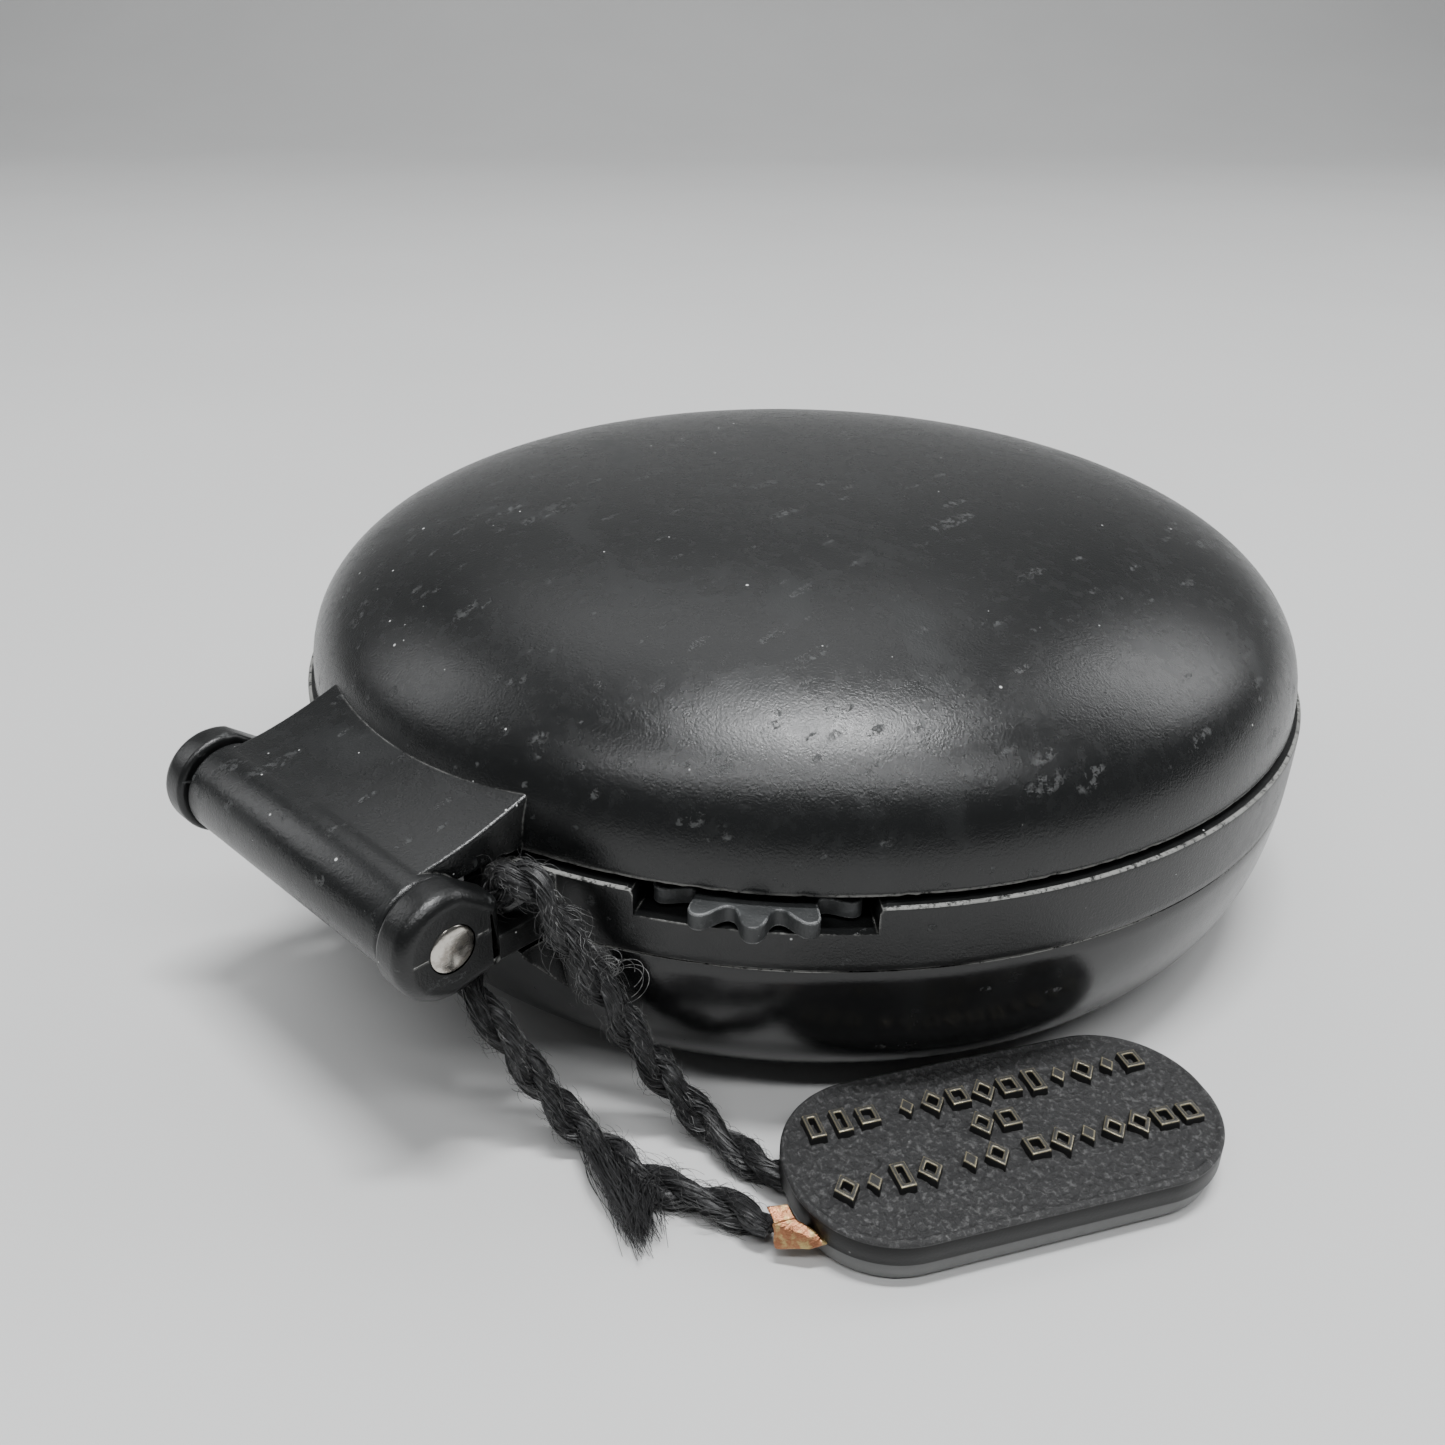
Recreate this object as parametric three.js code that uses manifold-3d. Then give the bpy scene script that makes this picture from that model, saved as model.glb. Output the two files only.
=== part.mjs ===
// Sighting compass: a round moulded case with a domed mirror lid, a rotating azimuth dial
// driven by a scalloped thumbwheel, and a seal tag on a loop of yarn.
// Millimetres, +Z up. The origin is the centre of the flat base, on the dial's axis.
// The hinge is at -Y with its pin along X, and the lanyard bar is at its +X end.
import * as THREE from 'three';
import { mergeVertices } from 'three/addons/utils/BufferGeometryUtils.js';
import Module from 'manifold-3d';

const wasm = await Module();
wasm.setup();

// ---- Driving dimensions ----
const GAP = 0.3; // between pieces that touch
const FIT = 0.12; // between faces that are clamped together
const SEGMENTS = 60; // round the large shells
const FINE = 28; // round the small pieces

const CASE = {
  baseR: 23.3, topR: 35.53, topZ: 15.74, // the case's full outer curve
  rise: 3.233, belly: 3.089, // its two exponents
  partZ: 11.46, edgeZ: 15.55, // parting line, top edge of the band
  wall: 1.8, floor: 2.0, bandR: 33.3, deckZ: 13.9, deck: 1.5,
};
const SPIGOT = { inR: 31.2, outR: 32.8, bottomZ: 10.2 }; // the band's lip inside the lower shell
const LID = { rimR: 35, rimZ: 15.89, height: 12.32, rise: 2.44, belly: 2.67, wall: 2 };
const HINGE = {
  y: -40.66, z: 14.62, pinR: 1.38, boreR: 1.46,
  barrelR: 2.87, barrelHalf: 10.2, knuckleR: 3.22, knuckleIn: 10.45, knuckleOut: 12.74,
};
const BLOCK = { half: 12.1, rearY: -36, toeY: -30, toeZ: 4, inR: 34.2 }; // the swelling behind the case
const LEAF = { half: 9.65, underZ: 16, rootZ: 19.3, rootY: -32.5 };
const NOTCH = { x0: 7.2, y: -34.4 }; // the passage for the lanyard beside its bar
const BAR = { top: 13.3, bottom: 11.75, frontY: -34.1 };

const WHEEL = {
  lobes: 12, tipR: 6.4, rootR: 4.8, sharp: 1.1,
  bottomZ: 14.2, topZ: 15.25, boreR: 1.1, axis: 30.6, angle: -52.1,
};
const AXLE = { rootR: 0.9, bottomZ: 12.4, headR: 1.9 };
const SLOT = { from: -62.7, to: -41.5, inR: 32, outR: 38 }; // degrees round the case, and its cut's radii
const DIAL = {
  teeth: 48, tipR: 24.95, rootR: 23.3, boreR: 21.2, skirtR: 22.2,
  bottomZ: 6.8, shoulderR: 23.6, topZ: 16.05, grooveZ: 7.15, grooveTop: 7.85, grooveR: 21.75,
};
const WELL = { r: 22.5, outR: 24, bottomZ: 8 };
const CAPSULE = { r: 21, wall: 1, bottomZ: 7, topZ: 15, lens: 1.1 };
const NEEDLE = { half: 16.5, width: 4.6, z: 11.6, thick: 0.35, hole: 1.35 };
const MIRROR = {
  r: 29, z: 17.25, thick: 1.1, pad: 1.7,
  frameR: 32.2, lipR: 27.6, frameZ: 16.45, frameTop: 18.4,
};
const BEZEL = { inR: 25.45, outR: 33, bottomZ: 14.02, topZ: 15.3 };
const CASE_SCREW = {
  r: 26.5, angles: [90, 210, 330], headR: 1.9, headZ: 0.35, head: 1.1, shankR: 0.95, length: 9.15,
  bossR: 2.6, bossTop: 4,
};
const BEZEL_SCREW = { r: 29.2, angles: [35, 145, 250], headR: 1.4, head: 0.3, shankR: 0.7, length: 2.65 };
const INDEX = { half: 0.7, rearY: -31, frontY: -26, thick: 0.24 };
const TAG = {
  x: 33.72, y: -20.42, turn: 61.06, length: 24.98, width: 11.75,
  corner: 5.57, split: 1.4, height: 3.05,
};
const CRIMP = { x: 30.4, y: -33.45, width: 2.7, depth: 1.6, bottomZ: 1.0, topZ: 2.8 };
const CORD = {
  r: 0.95, sides: 8, steps: 36,
  route: [
    [28.3, -33.3, 1.3], [26.7, -33.4, 1.05], [25.0, -33.8, 1.0], [23.3, -34.6, 1.0],
    [21.2, -35.3, 1.0], [18.6, -35.5, 1.1], [16.2, -36.0, 2.0], [14.4, -36.8, 4.0],
    [13.0, -37.7, 6.6], [11.5, -38.3, 8.6], [9.6, -38.0, 10.3], [8.65, -37.2, 12.1],
    [9.0, -36.3, 13.8], [10.6, -36.0, 15.0], [11.7, -35.8, 16.4], [12.9, -35.6, 16.3],
    [13.9, -35.1, 14.6], [15.1, -34.3, 12.1], [16.2, -33.4, 9.4], [17.2, -32.5, 6.6],
    [18.5, -31.4, 3.8], [20.4, -30.6, 1.8], [22.7, -30.4, 1.05], [24.9, -30.4, 1.0],
  ],
};

// ---- Materials ----
const finish = (color, roughness, metalness = 0, more = {}) =>
  new THREE.MeshStandardMaterial({ color, roughness, metalness, ...more });
const SATIN_BLACK = finish(0x17181a, 0.45);
const SMOOTH_BLACK = finish(0x131416, 0.28);
const STEEL = finish(0xb9bcc0, 0.25, 1);
const BRASS = finish(0xb08a45, 0.3, 1);
const COPPER = finish(0xa8663f, 0.4, 1);
const SILVERED = finish(0xd9dee2, 0.03, 1);
const CLEAR = finish(0xe9f1f2, 0.05, 0, { transparent: true, opacity: 0.35 });
const YARN = finish(0x131313, 0.95);
const TAG_BLACK = finish(0x1b1b1b, 0.6);
const TAG_GREY = finish(0x6c7072, 0.5);
const LUMINOUS = finish(0xd8e6b8, 0.6);
const CARD_WHITE = finish(0xe8e8e0, 0.6);
const NEEDLE_RED = finish(0xb3261e, 0.4);
const RUBY = finish(0x8f1230, 0.1);
const FOAM = finish(0x4a4a48, 0.95);

// ---- Solids ----
const radians = THREE.MathUtils.degToRad;
const around = (r, angle) => [r * Math.cos(radians(angle)), r * Math.sin(radians(angle))];

function solid(geometry) {
  geometry.deleteAttribute('normal');
  geometry.deleteAttribute('uv');
  const merged = mergeVertices(geometry, 1e-4);
  const vertProperties = new Float32Array(merged.attributes.position.array);
  const corners = [];
  for (let i = 0; i < merged.index.count; i += 3) {
    const [a, b, c] = [0, 1, 2].map((k) => merged.index.getX(i + k));
    if (a !== b && b !== c && c !== a) corners.push(a, b, c);
  }
  const triVerts = new Uint32Array(corners);
  return new wasm.Manifold(new wasm.Mesh({ numProp: 3, vertProperties, triVerts }));
}

// A solid of revolution about Z from [radius, z] pairs that run anticlockwise.
function turned(profile, segments = FINE) {
  const ends = profile.map(([r, z]) => new THREE.Vector2(r, z));
  if (profile[0][0] > 0 || profile.at(-1)[0] > 0) ends.push(ends[0].clone());
  return solid(new THREE.LatheGeometry(ends, segments).rotateX(Math.PI / 2));
}

const rod = (r, z0, z1, segments = FINE) => turned([[0, z0], [r, z0], [r, z1], [0, z1]], segments);
const ring = (r0, r1, z0, z1, segments = FINE) =>
  turned([[r0, z0], [r1, z0], [r1, z1], [r0, z1]], segments);
const block = (x0, x1, y0, y1, z0, z1) =>
  solid(new THREE.BoxGeometry(x1 - x0, y1 - y0, z1 - z0)
    .translate((x0 + x1) / 2, (y0 + y1) / 2, (z0 + z1) / 2));

// A rod or ring whose axis is the hinge's, from x0 to x1.
function onHinge(profile, segments = FINE) {
  return turned(profile, segments).rotate([0, 90, 0]).translate([0, HINGE.y, HINGE.z]);
}

// An outline of THREE.Vector2 points, raised from z0 to z1.
function raised(points, z0, z1) {
  const settings = { depth: z1 - z0, bevelEnabled: false };
  return solid(new THREE.ExtrudeGeometry(new THREE.Shape(points), settings).translate(0, 0, z0));
}

// A side outline of [y, z] points, extended along X from x0 to x1.
function sideways(points, x0, x1) {
  const outline = points.map(([y, z]) => new THREE.Vector2(y, z));
  return raised(outline, x0, x1).rotate([90, 0, 90]);
}

function piece(name, shape, material) {
  const { vertProperties, triVerts } = shape.getMesh();
  const geometry = new THREE.BufferGeometry();
  geometry.setAttribute('position', new THREE.BufferAttribute(new Float32Array(vertProperties), 3));
  geometry.setIndex(new THREE.BufferAttribute(new Uint32Array(triVerts), 1));
  geometry.computeVertexNormals();
  const mesh = new THREE.Mesh(geometry, material);
  mesh.name = name;
  return mesh;
}

// ---- Curves of the case and lid ----
// The case's outer radius at a height above the base.
function caseR(z) {
  const down = Math.max(0, 1 - z / CASE.topZ);
  return CASE.baseR + (CASE.topR - CASE.baseR) * (1 - down ** CASE.rise) ** (1 / CASE.belly);
}

// The lid's outer radius at a height above its rim, for a dome that is inset all over.
function lidR(up, inset = 0) {
  const t = Math.min(1, up / (LID.height - inset));
  return (LID.rimR - inset) * (1 - t ** LID.rise) ** (1 / LID.belly);
}

// Heights from z0 to z1 that crowd towards z0 (power above 1) or z1 (below 1).
const heights = (z0, z1, count, power = 1) =>
  Array.from({ length: count + 1 }, (_, i) => z0 + (z1 - z0) * (i / count) ** power);

// ---- The case ----
function lowerShell() {
  const top = CASE.partZ - FIT / 2;
  const outside = heights(0, top, 7, 2.4).map((z) => [caseR(z), z]);
  const body = turned([[0, 0], ...outside, [0, top]], SEGMENTS);
  const inside = heights(CASE.floor, top + 1, 4, 1.8)
    .map((z) => [caseR(z - CASE.floor * 0.6) - CASE.wall, z]);
  const hollow = turned([[0, CASE.floor], ...inside, [0, top + 1]], SEGMENTS);
  const toeFront = BLOCK.toeY + 5;
  const toe = [[BLOCK.rearY, top], [BLOCK.toeY, BLOCK.toeZ], [toeFront, BLOCK.toeZ], [toeFront, top]];
  const notch = block(NOTCH.x0, HINGE.knuckleIn, BLOCK.rearY - 1, NOTCH.y - 0.6, 9, 12);
  let shell = body.add(sideways(toe, -BLOCK.half, BLOCK.half)).subtract(hollow).subtract(notch);
  for (const angle of CASE_SCREW.angles) {
    const at = [...around(CASE_SCREW.r, angle), 0];
    const boss = rod(CASE_SCREW.bossR, CASE.floor - 1, CASE_SCREW.bossTop).translate(at);
    const recess = CASE_SCREW.headZ + CASE_SCREW.head + 0.15;
    const hole = rod(CASE_SCREW.shankR + GAP, -1, CASE_SCREW.bossTop + 1)
      .add(rod(CASE_SCREW.headR + GAP, -1, recess));
    shell = shell.add(boss).subtract(hole.translate(at));
  }
  return shell;
}

function knuckle(side) {
  const { y, z, knuckleR: r } = HINGE;
  const front = y + r + 0.04;
  const arc = Array.from({ length: 19 }, (_, i) => radians(72 + (216 * i) / 18))
    .map((a) => [y + r * Math.cos(a), z + r * Math.sin(a)]);
  const outline = [...arc, [front, z - 2.62], [front, z + 1.4]];
  const [x0, x1] = side > 0 ? [HINGE.knuckleIn, HINGE.knuckleOut] : [-HINGE.knuckleOut, -HINGE.knuckleIn];
  return sideways(outline, x0, x1);
}

function upperCase() {
  const bottom = CASE.partZ + FIT / 2;
  const under = CASE.deckZ - CASE.deck;
  const band = heights(bottom, CASE.edgeZ - 0.3, 3).map((z) => [caseR(z), z]);
  let body = turned([
    [WELL.r, WELL.bottomZ], [WELL.outR, WELL.bottomZ], [WELL.outR, under], [SPIGOT.inR, under],
    [SPIGOT.inR, SPIGOT.bottomZ], [SPIGOT.outR, SPIGOT.bottomZ], [SPIGOT.outR, bottom], ...band,
    [caseR(CASE.edgeZ) - 0.3, CASE.edgeZ], [CASE.bandR, CASE.edgeZ], [CASE.bandR, CASE.deckZ],
    [WELL.r, CASE.deckZ],
  ], SEGMENTS);
  const rear = block(-BLOCK.half, BLOCK.half, BLOCK.rearY, -30, bottom, CASE.edgeZ)
    .subtract(rod(BLOCK.inR, 0, 30, SEGMENTS));
  const notch = block(NOTCH.x0, BLOCK.half + 1, BLOCK.rearY - 1, NOTCH.y, 0, 30);
  const bars = [-1, 1].map((side) => {
    const [x0, x1] = side > 0 ? [HINGE.knuckleIn, BLOCK.half] : [-BLOCK.half, -HINGE.knuckleIn];
    return block(x0, x1, HINGE.y + 2, BAR.frontY, BAR.bottom, side > 0 ? BAR.top : CASE.edgeZ);
  });
  body = body.add(rear.subtract(notch)).add(bars[0]).add(bars[1]).add(knuckle(-1)).add(knuckle(1));
  body = body.subtract(onHinge([[0, -20], [HINGE.boreR, -20], [HINGE.boreR, 20], [0, 20]]));
  for (const angle of CASE_SCREW.angles) {
    const post = rod(CASE_SCREW.bossR, CASE_SCREW.bossTop + FIT, under + 0.5)
      .subtract(rod(CASE_SCREW.shankR + FIT, CASE_SCREW.bossTop - 1, under - 1.4));
    body = body.add(post.translate([...around(CASE_SCREW.r, angle), 0]));
  }
  for (const angle of BEZEL_SCREW.angles) {
    const hole = rod(BEZEL_SCREW.shankR + FIT, 10, 20, 16);
    body = body.subtract(hole.translate([...around(BEZEL_SCREW.r, angle), 0]));
  }
  const axleHole = rod(AXLE.rootR + 0.1, AXLE.bottomZ - 0.2, 20, 24).translate(wheelAt());
  return body.subtract(slotCut()).subtract(axleHole);
}

const wheelAt = () => [...around(WHEEL.axis, WHEEL.angle), 0];

// The window in the band that the thumbwheel shows through.
function slotCut() {
  const arc = heights(SLOT.from, SLOT.to, 8);
  const outline = [...arc.map((a) => around(SLOT.outR, a)), ...arc.reverse().map((a) => around(SLOT.inR, a))];
  return raised(outline.map(([x, y]) => new THREE.Vector2(x, y)), CASE.deckZ + 0.05, 30);
}

function bezelRing() {
  let plate = ring(BEZEL.inR, BEZEL.outR, BEZEL.bottomZ, BEZEL.topZ, SEGMENTS)
    .subtract(rod(WHEEL.tipR + 0.6, 10, 20).translate(wheelAt()));
  for (const angle of BEZEL_SCREW.angles) {
    const hole = rod(BEZEL_SCREW.shankR + FIT, 10, 20, 16)
      .add(rod(BEZEL_SCREW.headR + FIT, BEZEL.topZ - BEZEL_SCREW.head - 0.15, 20, 24));
    plate = plate.subtract(hole.translate([...around(BEZEL_SCREW.r, angle), 0]));
  }
  return plate;
}

const indexMark = () => block(-INDEX.half, INDEX.half, INDEX.rearY, INDEX.frontY,
  BEZEL.topZ + FIT / 2, BEZEL.topZ + FIT / 2 + INDEX.thick);

// A slotted screw with its head's face at the origin and its tip up.
function screw({ headR, head, shankR, length }) {
  const slotDepth = Math.min(0.4, head * 0.7);
  return rod(headR, 0, head, 18).add(rod(shankR, head, length, 10))
    .subtract(block(-headR, headR, -0.25, 0.25, -1, slotDepth));
}

// ---- The dial and its thumbwheel ----
// The thumbwheel's radius at an angle from one of its lobes.
function lobeR(angle) {
  const middle = (WHEEL.tipR + WHEEL.rootR) / 2;
  const wave = Math.tanh(WHEEL.sharp * Math.cos(WHEEL.lobes * angle)) / Math.tanh(WHEEL.sharp);
  return middle + (WHEEL.tipR - middle) * wave;
}

// A closed outline whose radius is a function of the angle, with points evenly round it.
function polar(radiusAt, count, turn = 0) {
  const angles = Array.from({ length: count }, (_, i) => (2 * Math.PI * i) / count);
  return angles.map((a) => {
    const r = radiusAt(a);
    return new THREE.Vector2(r * Math.cos(a + turn), r * Math.sin(a + turn));
  });
}

function thumbwheel() {
  const outline = polar(lobeR, WHEEL.lobes * 8, radians(WHEEL.angle));
  return raised(outline, WHEEL.bottomZ, WHEEL.topZ)
    .subtract(rod(WHEEL.boreR + 0.1, 0, 30, 24)).translate(wheelAt());
}

// The spindle that the thumbwheel turns on, with a domed head over the wheel.
const wheelAxle = () => turned([
  [0, AXLE.bottomZ], [AXLE.rootR, AXLE.bottomZ], [AXLE.rootR, CASE.deckZ + 0.1],
  [WHEEL.boreR, CASE.deckZ + 0.1], [WHEEL.boreR, WHEEL.topZ + 0.1], [AXLE.headR, WHEEL.topZ + 0.1],
  [AXLE.headR - 0.2, WHEEL.topZ + 0.35], [0, WHEEL.topZ + 0.5],
], 24).translate(wheelAt());

// The dial's radius at an angle from a gap: what the rolling thumbwheel leaves standing.
function toothR(angle) {
  for (let r = DIAL.rootR; r < DIAL.tipR; r += 0.05) {
    for (let roll = -8; roll <= 8; roll += 0.25) {
      const at = radians(roll);
      const dx = r * Math.cos(angle) - WHEEL.axis * Math.cos(at);
      const dy = r * Math.sin(angle) - WHEEL.axis * Math.sin(at);
      const spin = (1 + DIAL.teeth / WHEEL.lobes) * at;
      const reach = lobeR(Math.atan2(dy, dx) - spin) + 0.12;
      if (Math.hypot(dx, dy) < reach) return r;
    }
  }
  return DIAL.tipR;
}

function azimuthDial() {
  const perTooth = 6;
  const pitch = (2 * Math.PI) / DIAL.teeth;
  const steps = Array.from({ length: perTooth }, (_, i) => (i / perTooth - 0.5) * pitch).map(toothR);
  const start = radians(WHEEL.angle) - pitch / 2;
  const rimR = (angle) => steps[Math.round((angle / pitch) * perTooth) % perTooth];
  const flange = raised(polar(rimR, DIAL.teeth * perTooth, start), WHEEL.bottomZ, WHEEL.topZ)
    .subtract(rod(DIAL.boreR + 0.4, 0, 30, SEGMENTS));
  const body = turned([
    [DIAL.boreR, DIAL.bottomZ], [DIAL.skirtR, DIAL.bottomZ], [DIAL.skirtR, DIAL.grooveZ],
    [DIAL.grooveR, DIAL.grooveZ], [DIAL.grooveR, DIAL.grooveTop], [DIAL.skirtR, DIAL.grooveTop],
    [DIAL.skirtR, WHEEL.bottomZ], [DIAL.shoulderR - 0.8, WHEEL.bottomZ], [DIAL.shoulderR - 0.8, WHEEL.topZ],
    [DIAL.shoulderR, WHEEL.topZ + 0.05], [DIAL.boreR + 0.5, DIAL.topZ], [DIAL.boreR, DIAL.topZ],
  ], SEGMENTS);
  return body.add(flange);
}

// A spring ring with a gap in it, which stops the dial from lifting out of its well.
function snapRing() {
  const z = DIAL.grooveZ + 0.15;
  return ring(DIAL.grooveR + 0.1, 23.1, z, z + 0.4, SEGMENTS).subtract(block(20, 25, -1.5, 1.5, 0, 20));
}

function capsuleBowl() {
  const { r, wall, bottomZ, topZ } = CAPSULE;
  return turned([
    [0, bottomZ], [r - 0.5, bottomZ], [r, bottomZ + 0.5], [r, topZ],
    [r - wall, topZ], [r - wall, bottomZ + wall], [0, bottomZ + wall],
  ], SEGMENTS);
}

function capsuleLens() {
  const z = CAPSULE.topZ + 0.1;
  return turned([[0, z], [CAPSULE.r, z], [CAPSULE.r, z + 0.7], [CAPSULE.r - 0.4, z + CAPSULE.lens],
    [0, z + CAPSULE.lens]], SEGMENTS);
}

// The floor plate of the capsule, with the orienting arrow standing a little proud.
function orientingPlate() {
  const z = CAPSULE.bottomZ + CAPSULE.wall + 0.1;
  const arrow = [[0, -15], [2.6, -9.5], [1, -9.5], [1, 13], [-1, 13], [-1, -9.5], [-2.6, -9.5]];
  const outline = arrow.map(([x, y]) => new THREE.Vector2(x, y));
  return rod(19.6, z, z + 0.35, 48).add(raised(outline, z + 0.2, z + 0.5)).subtract(rod(0.75, 0, 20, 16));
}

const pivotPin = () => turned([[0, 8.15], [0.6, 8.15], [0.6, 10.6], [0.12, 11.95], [0, 11.95]], 16);

function magneticNeedle() {
  const { half, width, z, thick, hole } = NEEDLE;
  const outline = [[half, 0], [0, width / 2], [-half, 0], [0, -width / 2]];
  return raised(outline.map(([y, x]) => new THREE.Vector2(x, -y)), z, z + thick)
    .add(rod(hole + 1.1, z, z + thick, 24)).subtract(rod(hole, 0, 20, 24));
}

// The cap that carries the needle and its jewel, open below for the pivot.
function needleHub() {
  const over = NEEDLE.z + NEEDLE.thick + 0.1;
  return turned([
    [0.9, NEEDLE.z - 0.5], [1.2, NEEDLE.z - 0.5], [1.2, over], [2.1, over], [2.1, over + 0.4],
    [1.1, over + 1.1], [0, over + 1.1], [0, over + 0.75], [0.9, over + 0.75],
  ], 24);
}

const pivotJewel = () => turned([[0, 12.25], [0.1, 12.25], [0.5, 11.6], [0.78, 11.6],
  [0.78, 12.6], [0, 12.6]], 16);

// ---- The lid ----
function lidShell() {
  const up = [0, 0.14, 0.34, 0.56, 0.74, 0.87, 0.95, 0.988, 1];
  const outside = up.map((t) => [lidR(t * LID.height), LID.rimZ + t * LID.height]);
  const insideTop = LID.height - LID.wall;
  const inside = up.filter((_, i) => i % 2 === 0)
    .map((t) => [lidR(t * insideTop, LID.wall), LID.rimZ + t * insideTop]);
  const dome = turned([[0, LID.rimZ], ...outside], SEGMENTS);
  const hollow = turned([[0, LID.rimZ - 1], [inside[0][0], LID.rimZ - 1], ...inside], SEGMENTS);
  const { y, z, barrelR, barrelHalf, boreR } = HINGE;
  const plate = [[y, z + barrelR - 0.01], [y, LEAF.underZ], [LEAF.rootY, LEAF.underZ],
    [LEAF.rootY, LEAF.rootZ]];
  const leaf = sideways(plate, -LEAF.half, LEAF.half);
  const barrel = onHinge([[0, -barrelHalf], [barrelR, -barrelHalf], [barrelR, barrelHalf], [0, barrelHalf]]);
  const bore = onHinge([[0, -20], [boreR, -20], [boreR, 20], [0, 20]]);
  return dome.add(leaf).subtract(hollow).add(barrel).subtract(bore);
}

function hingePin() {
  const { pinR, knuckleOut: x } = HINGE;
  return onHinge([[0, -x + 0.2], [pinR - 0.3, -x + 0.2], [pinR, -x + 0.5], [pinR, x - 0.5],
    [pinR - 0.3, x - 0.2], [0, x - 0.2]]);
}

// The tray that holds the mirror in the lid: a ring with a lip under the glass.
function mirrorFrame() {
  const { r, z, frameR, lipR, frameZ, frameTop } = MIRROR;
  return turned([
    [lipR, frameZ + 0.3], [lipR + 0.4, frameZ], [frameR, frameZ], [frameR, frameTop],
    [r + GAP, frameTop], [r + GAP, z - 0.15], [lipR, z - 0.15],
  ], SEGMENTS);
}

const lidMirror = () => rod(MIRROR.r, MIRROR.z, MIRROR.z + MIRROR.thick, SEGMENTS);
function mirrorPad() {
  const bottom = MIRROR.z + MIRROR.thick + 0.1;
  return rod(MIRROR.r - 1, bottom, bottom + MIRROR.pad, 48);
}
const sightingLine = () =>
  block(-0.15, 0.15, -MIRROR.lipR + 0.3, MIRROR.lipR - 0.3, MIRROR.z - 0.16, MIRROR.z - 0.06);

// ---- The seal tag and its yarn ----
// The tag's outline: a rectangle with round corners, lying at its angle on the ground.
function tagOutline(inset = 0) {
  const [a, b, r] = [TAG.length / 2 - TAG.corner, TAG.width / 2 - TAG.corner, TAG.corner - inset];
  const corners = [[a, b, 0], [-a, b, 90], [-a, -b, 180], [a, -b, 270]];
  return corners.flatMap(([x, y, from]) => heights(from, from + 90, 8).map((angle) =>
    new THREE.Vector2(x, y).add(new THREE.Vector2(...around(r, angle)))
      .rotateAround(new THREE.Vector2(), radians(TAG.turn)).add(new THREE.Vector2(TAG.x, TAG.y))));
}

const tagBase = () => raised(tagOutline(0.15), 0, TAG.split - FIT / 2);
const tagFace = () => raised(tagOutline(), TAG.split + FIT / 2, TAG.height);
const tagCrimp = () => block(CRIMP.x - CRIMP.width / 2, CRIMP.x + CRIMP.width / 2,
  CRIMP.y - CRIMP.depth / 2, CRIMP.y + CRIMP.depth / 2, CRIMP.bottomZ, CRIMP.topZ);

function lanyardCord() {
  const points = CORD.route.map((p) => new THREE.Vector3(...p));
  const extrudePath = new THREE.CatmullRomCurve3(points, false, 'centripetal');
  const section = new THREE.Shape(polar(() => CORD.r, CORD.sides));
  const settings = { steps: CORD.steps, extrudePath, bevelEnabled: false };
  return solid(new THREE.ExtrudeGeometry(section, settings));
}

// ---- The assembly ----
const compass = new THREE.Group();

const body = new THREE.Group();
body.add(
  piece('lower_shell', lowerShell(), SMOOTH_BLACK),
  piece('upper_case', upperCase(), SATIN_BLACK),
  piece('bezel_ring', bezelRing(), SATIN_BLACK),
  piece('index_mark', indexMark(), LUMINOUS),
  piece('thumbwheel_axle', wheelAxle(), STEEL),
  piece('hinge_pin', hingePin(), STEEL),
  piece('lanyard_cord', lanyardCord(), YARN),
  piece('tag_base', tagBase(), TAG_GREY),
  piece('tag_face', tagFace(), TAG_BLACK),
  piece('tag_crimp', tagCrimp(), COPPER),
);
CASE_SCREW.angles.forEach((angle, i) => {
  const shape = screw(CASE_SCREW).translate([...around(CASE_SCREW.r, angle), CASE_SCREW.headZ]);
  body.add(piece(`case_screw_${i + 1}`, shape, STEEL));
});
BEZEL_SCREW.angles.forEach((angle, i) => {
  const at = [...around(BEZEL_SCREW.r, angle), BEZEL.topZ - 0.05];
  body.add(piece(`bezel_screw_${i + 1}`, screw(BEZEL_SCREW).rotate([180, 0, 0]).translate(at), STEEL));
});

const lid = new THREE.Group();
lid.add(
  piece('lid_shell', lidShell(), SATIN_BLACK),
  piece('mirror_frame', mirrorFrame(), SATIN_BLACK),
  piece('lid_mirror', lidMirror(), SILVERED),
  piece('mirror_pad', mirrorPad(), FOAM),
  piece('sighting_line', sightingLine(), SATIN_BLACK),
);

const dial = new THREE.Group();
dial.add(
  piece('azimuth_dial', azimuthDial(), SATIN_BLACK),
  piece('dial_snap_ring', snapRing(), STEEL),
  piece('capsule_bowl', capsuleBowl(), CLEAR),
  piece('capsule_lens', capsuleLens(), CLEAR),
  piece('orienting_plate', orientingPlate(), CARD_WHITE),
  piece('pivot_pin', pivotPin(), STEEL),
);

const needle = new THREE.Group();
needle.add(
  piece('magnetic_needle', magneticNeedle(), NEEDLE_RED),
  piece('needle_hub', needleHub(), BRASS),
  piece('pivot_jewel', pivotJewel(), RUBY),
);

compass.add(body, lid, dial, piece('thumbwheel', thumbwheel(), SATIN_BLACK), needle);

export default compass;
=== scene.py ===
"""Sighting compass: the looks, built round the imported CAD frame.

Shapes are made in millimetres in the row frame (origin at the centre of the base, +Z up,
hinge at -Y with its pin along X) and scaled to metres as each one becomes a piece.
"""
import math
import random

import bmesh
import bpy
from mathutils import Matrix, Quaternion, Vector, noise


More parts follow.
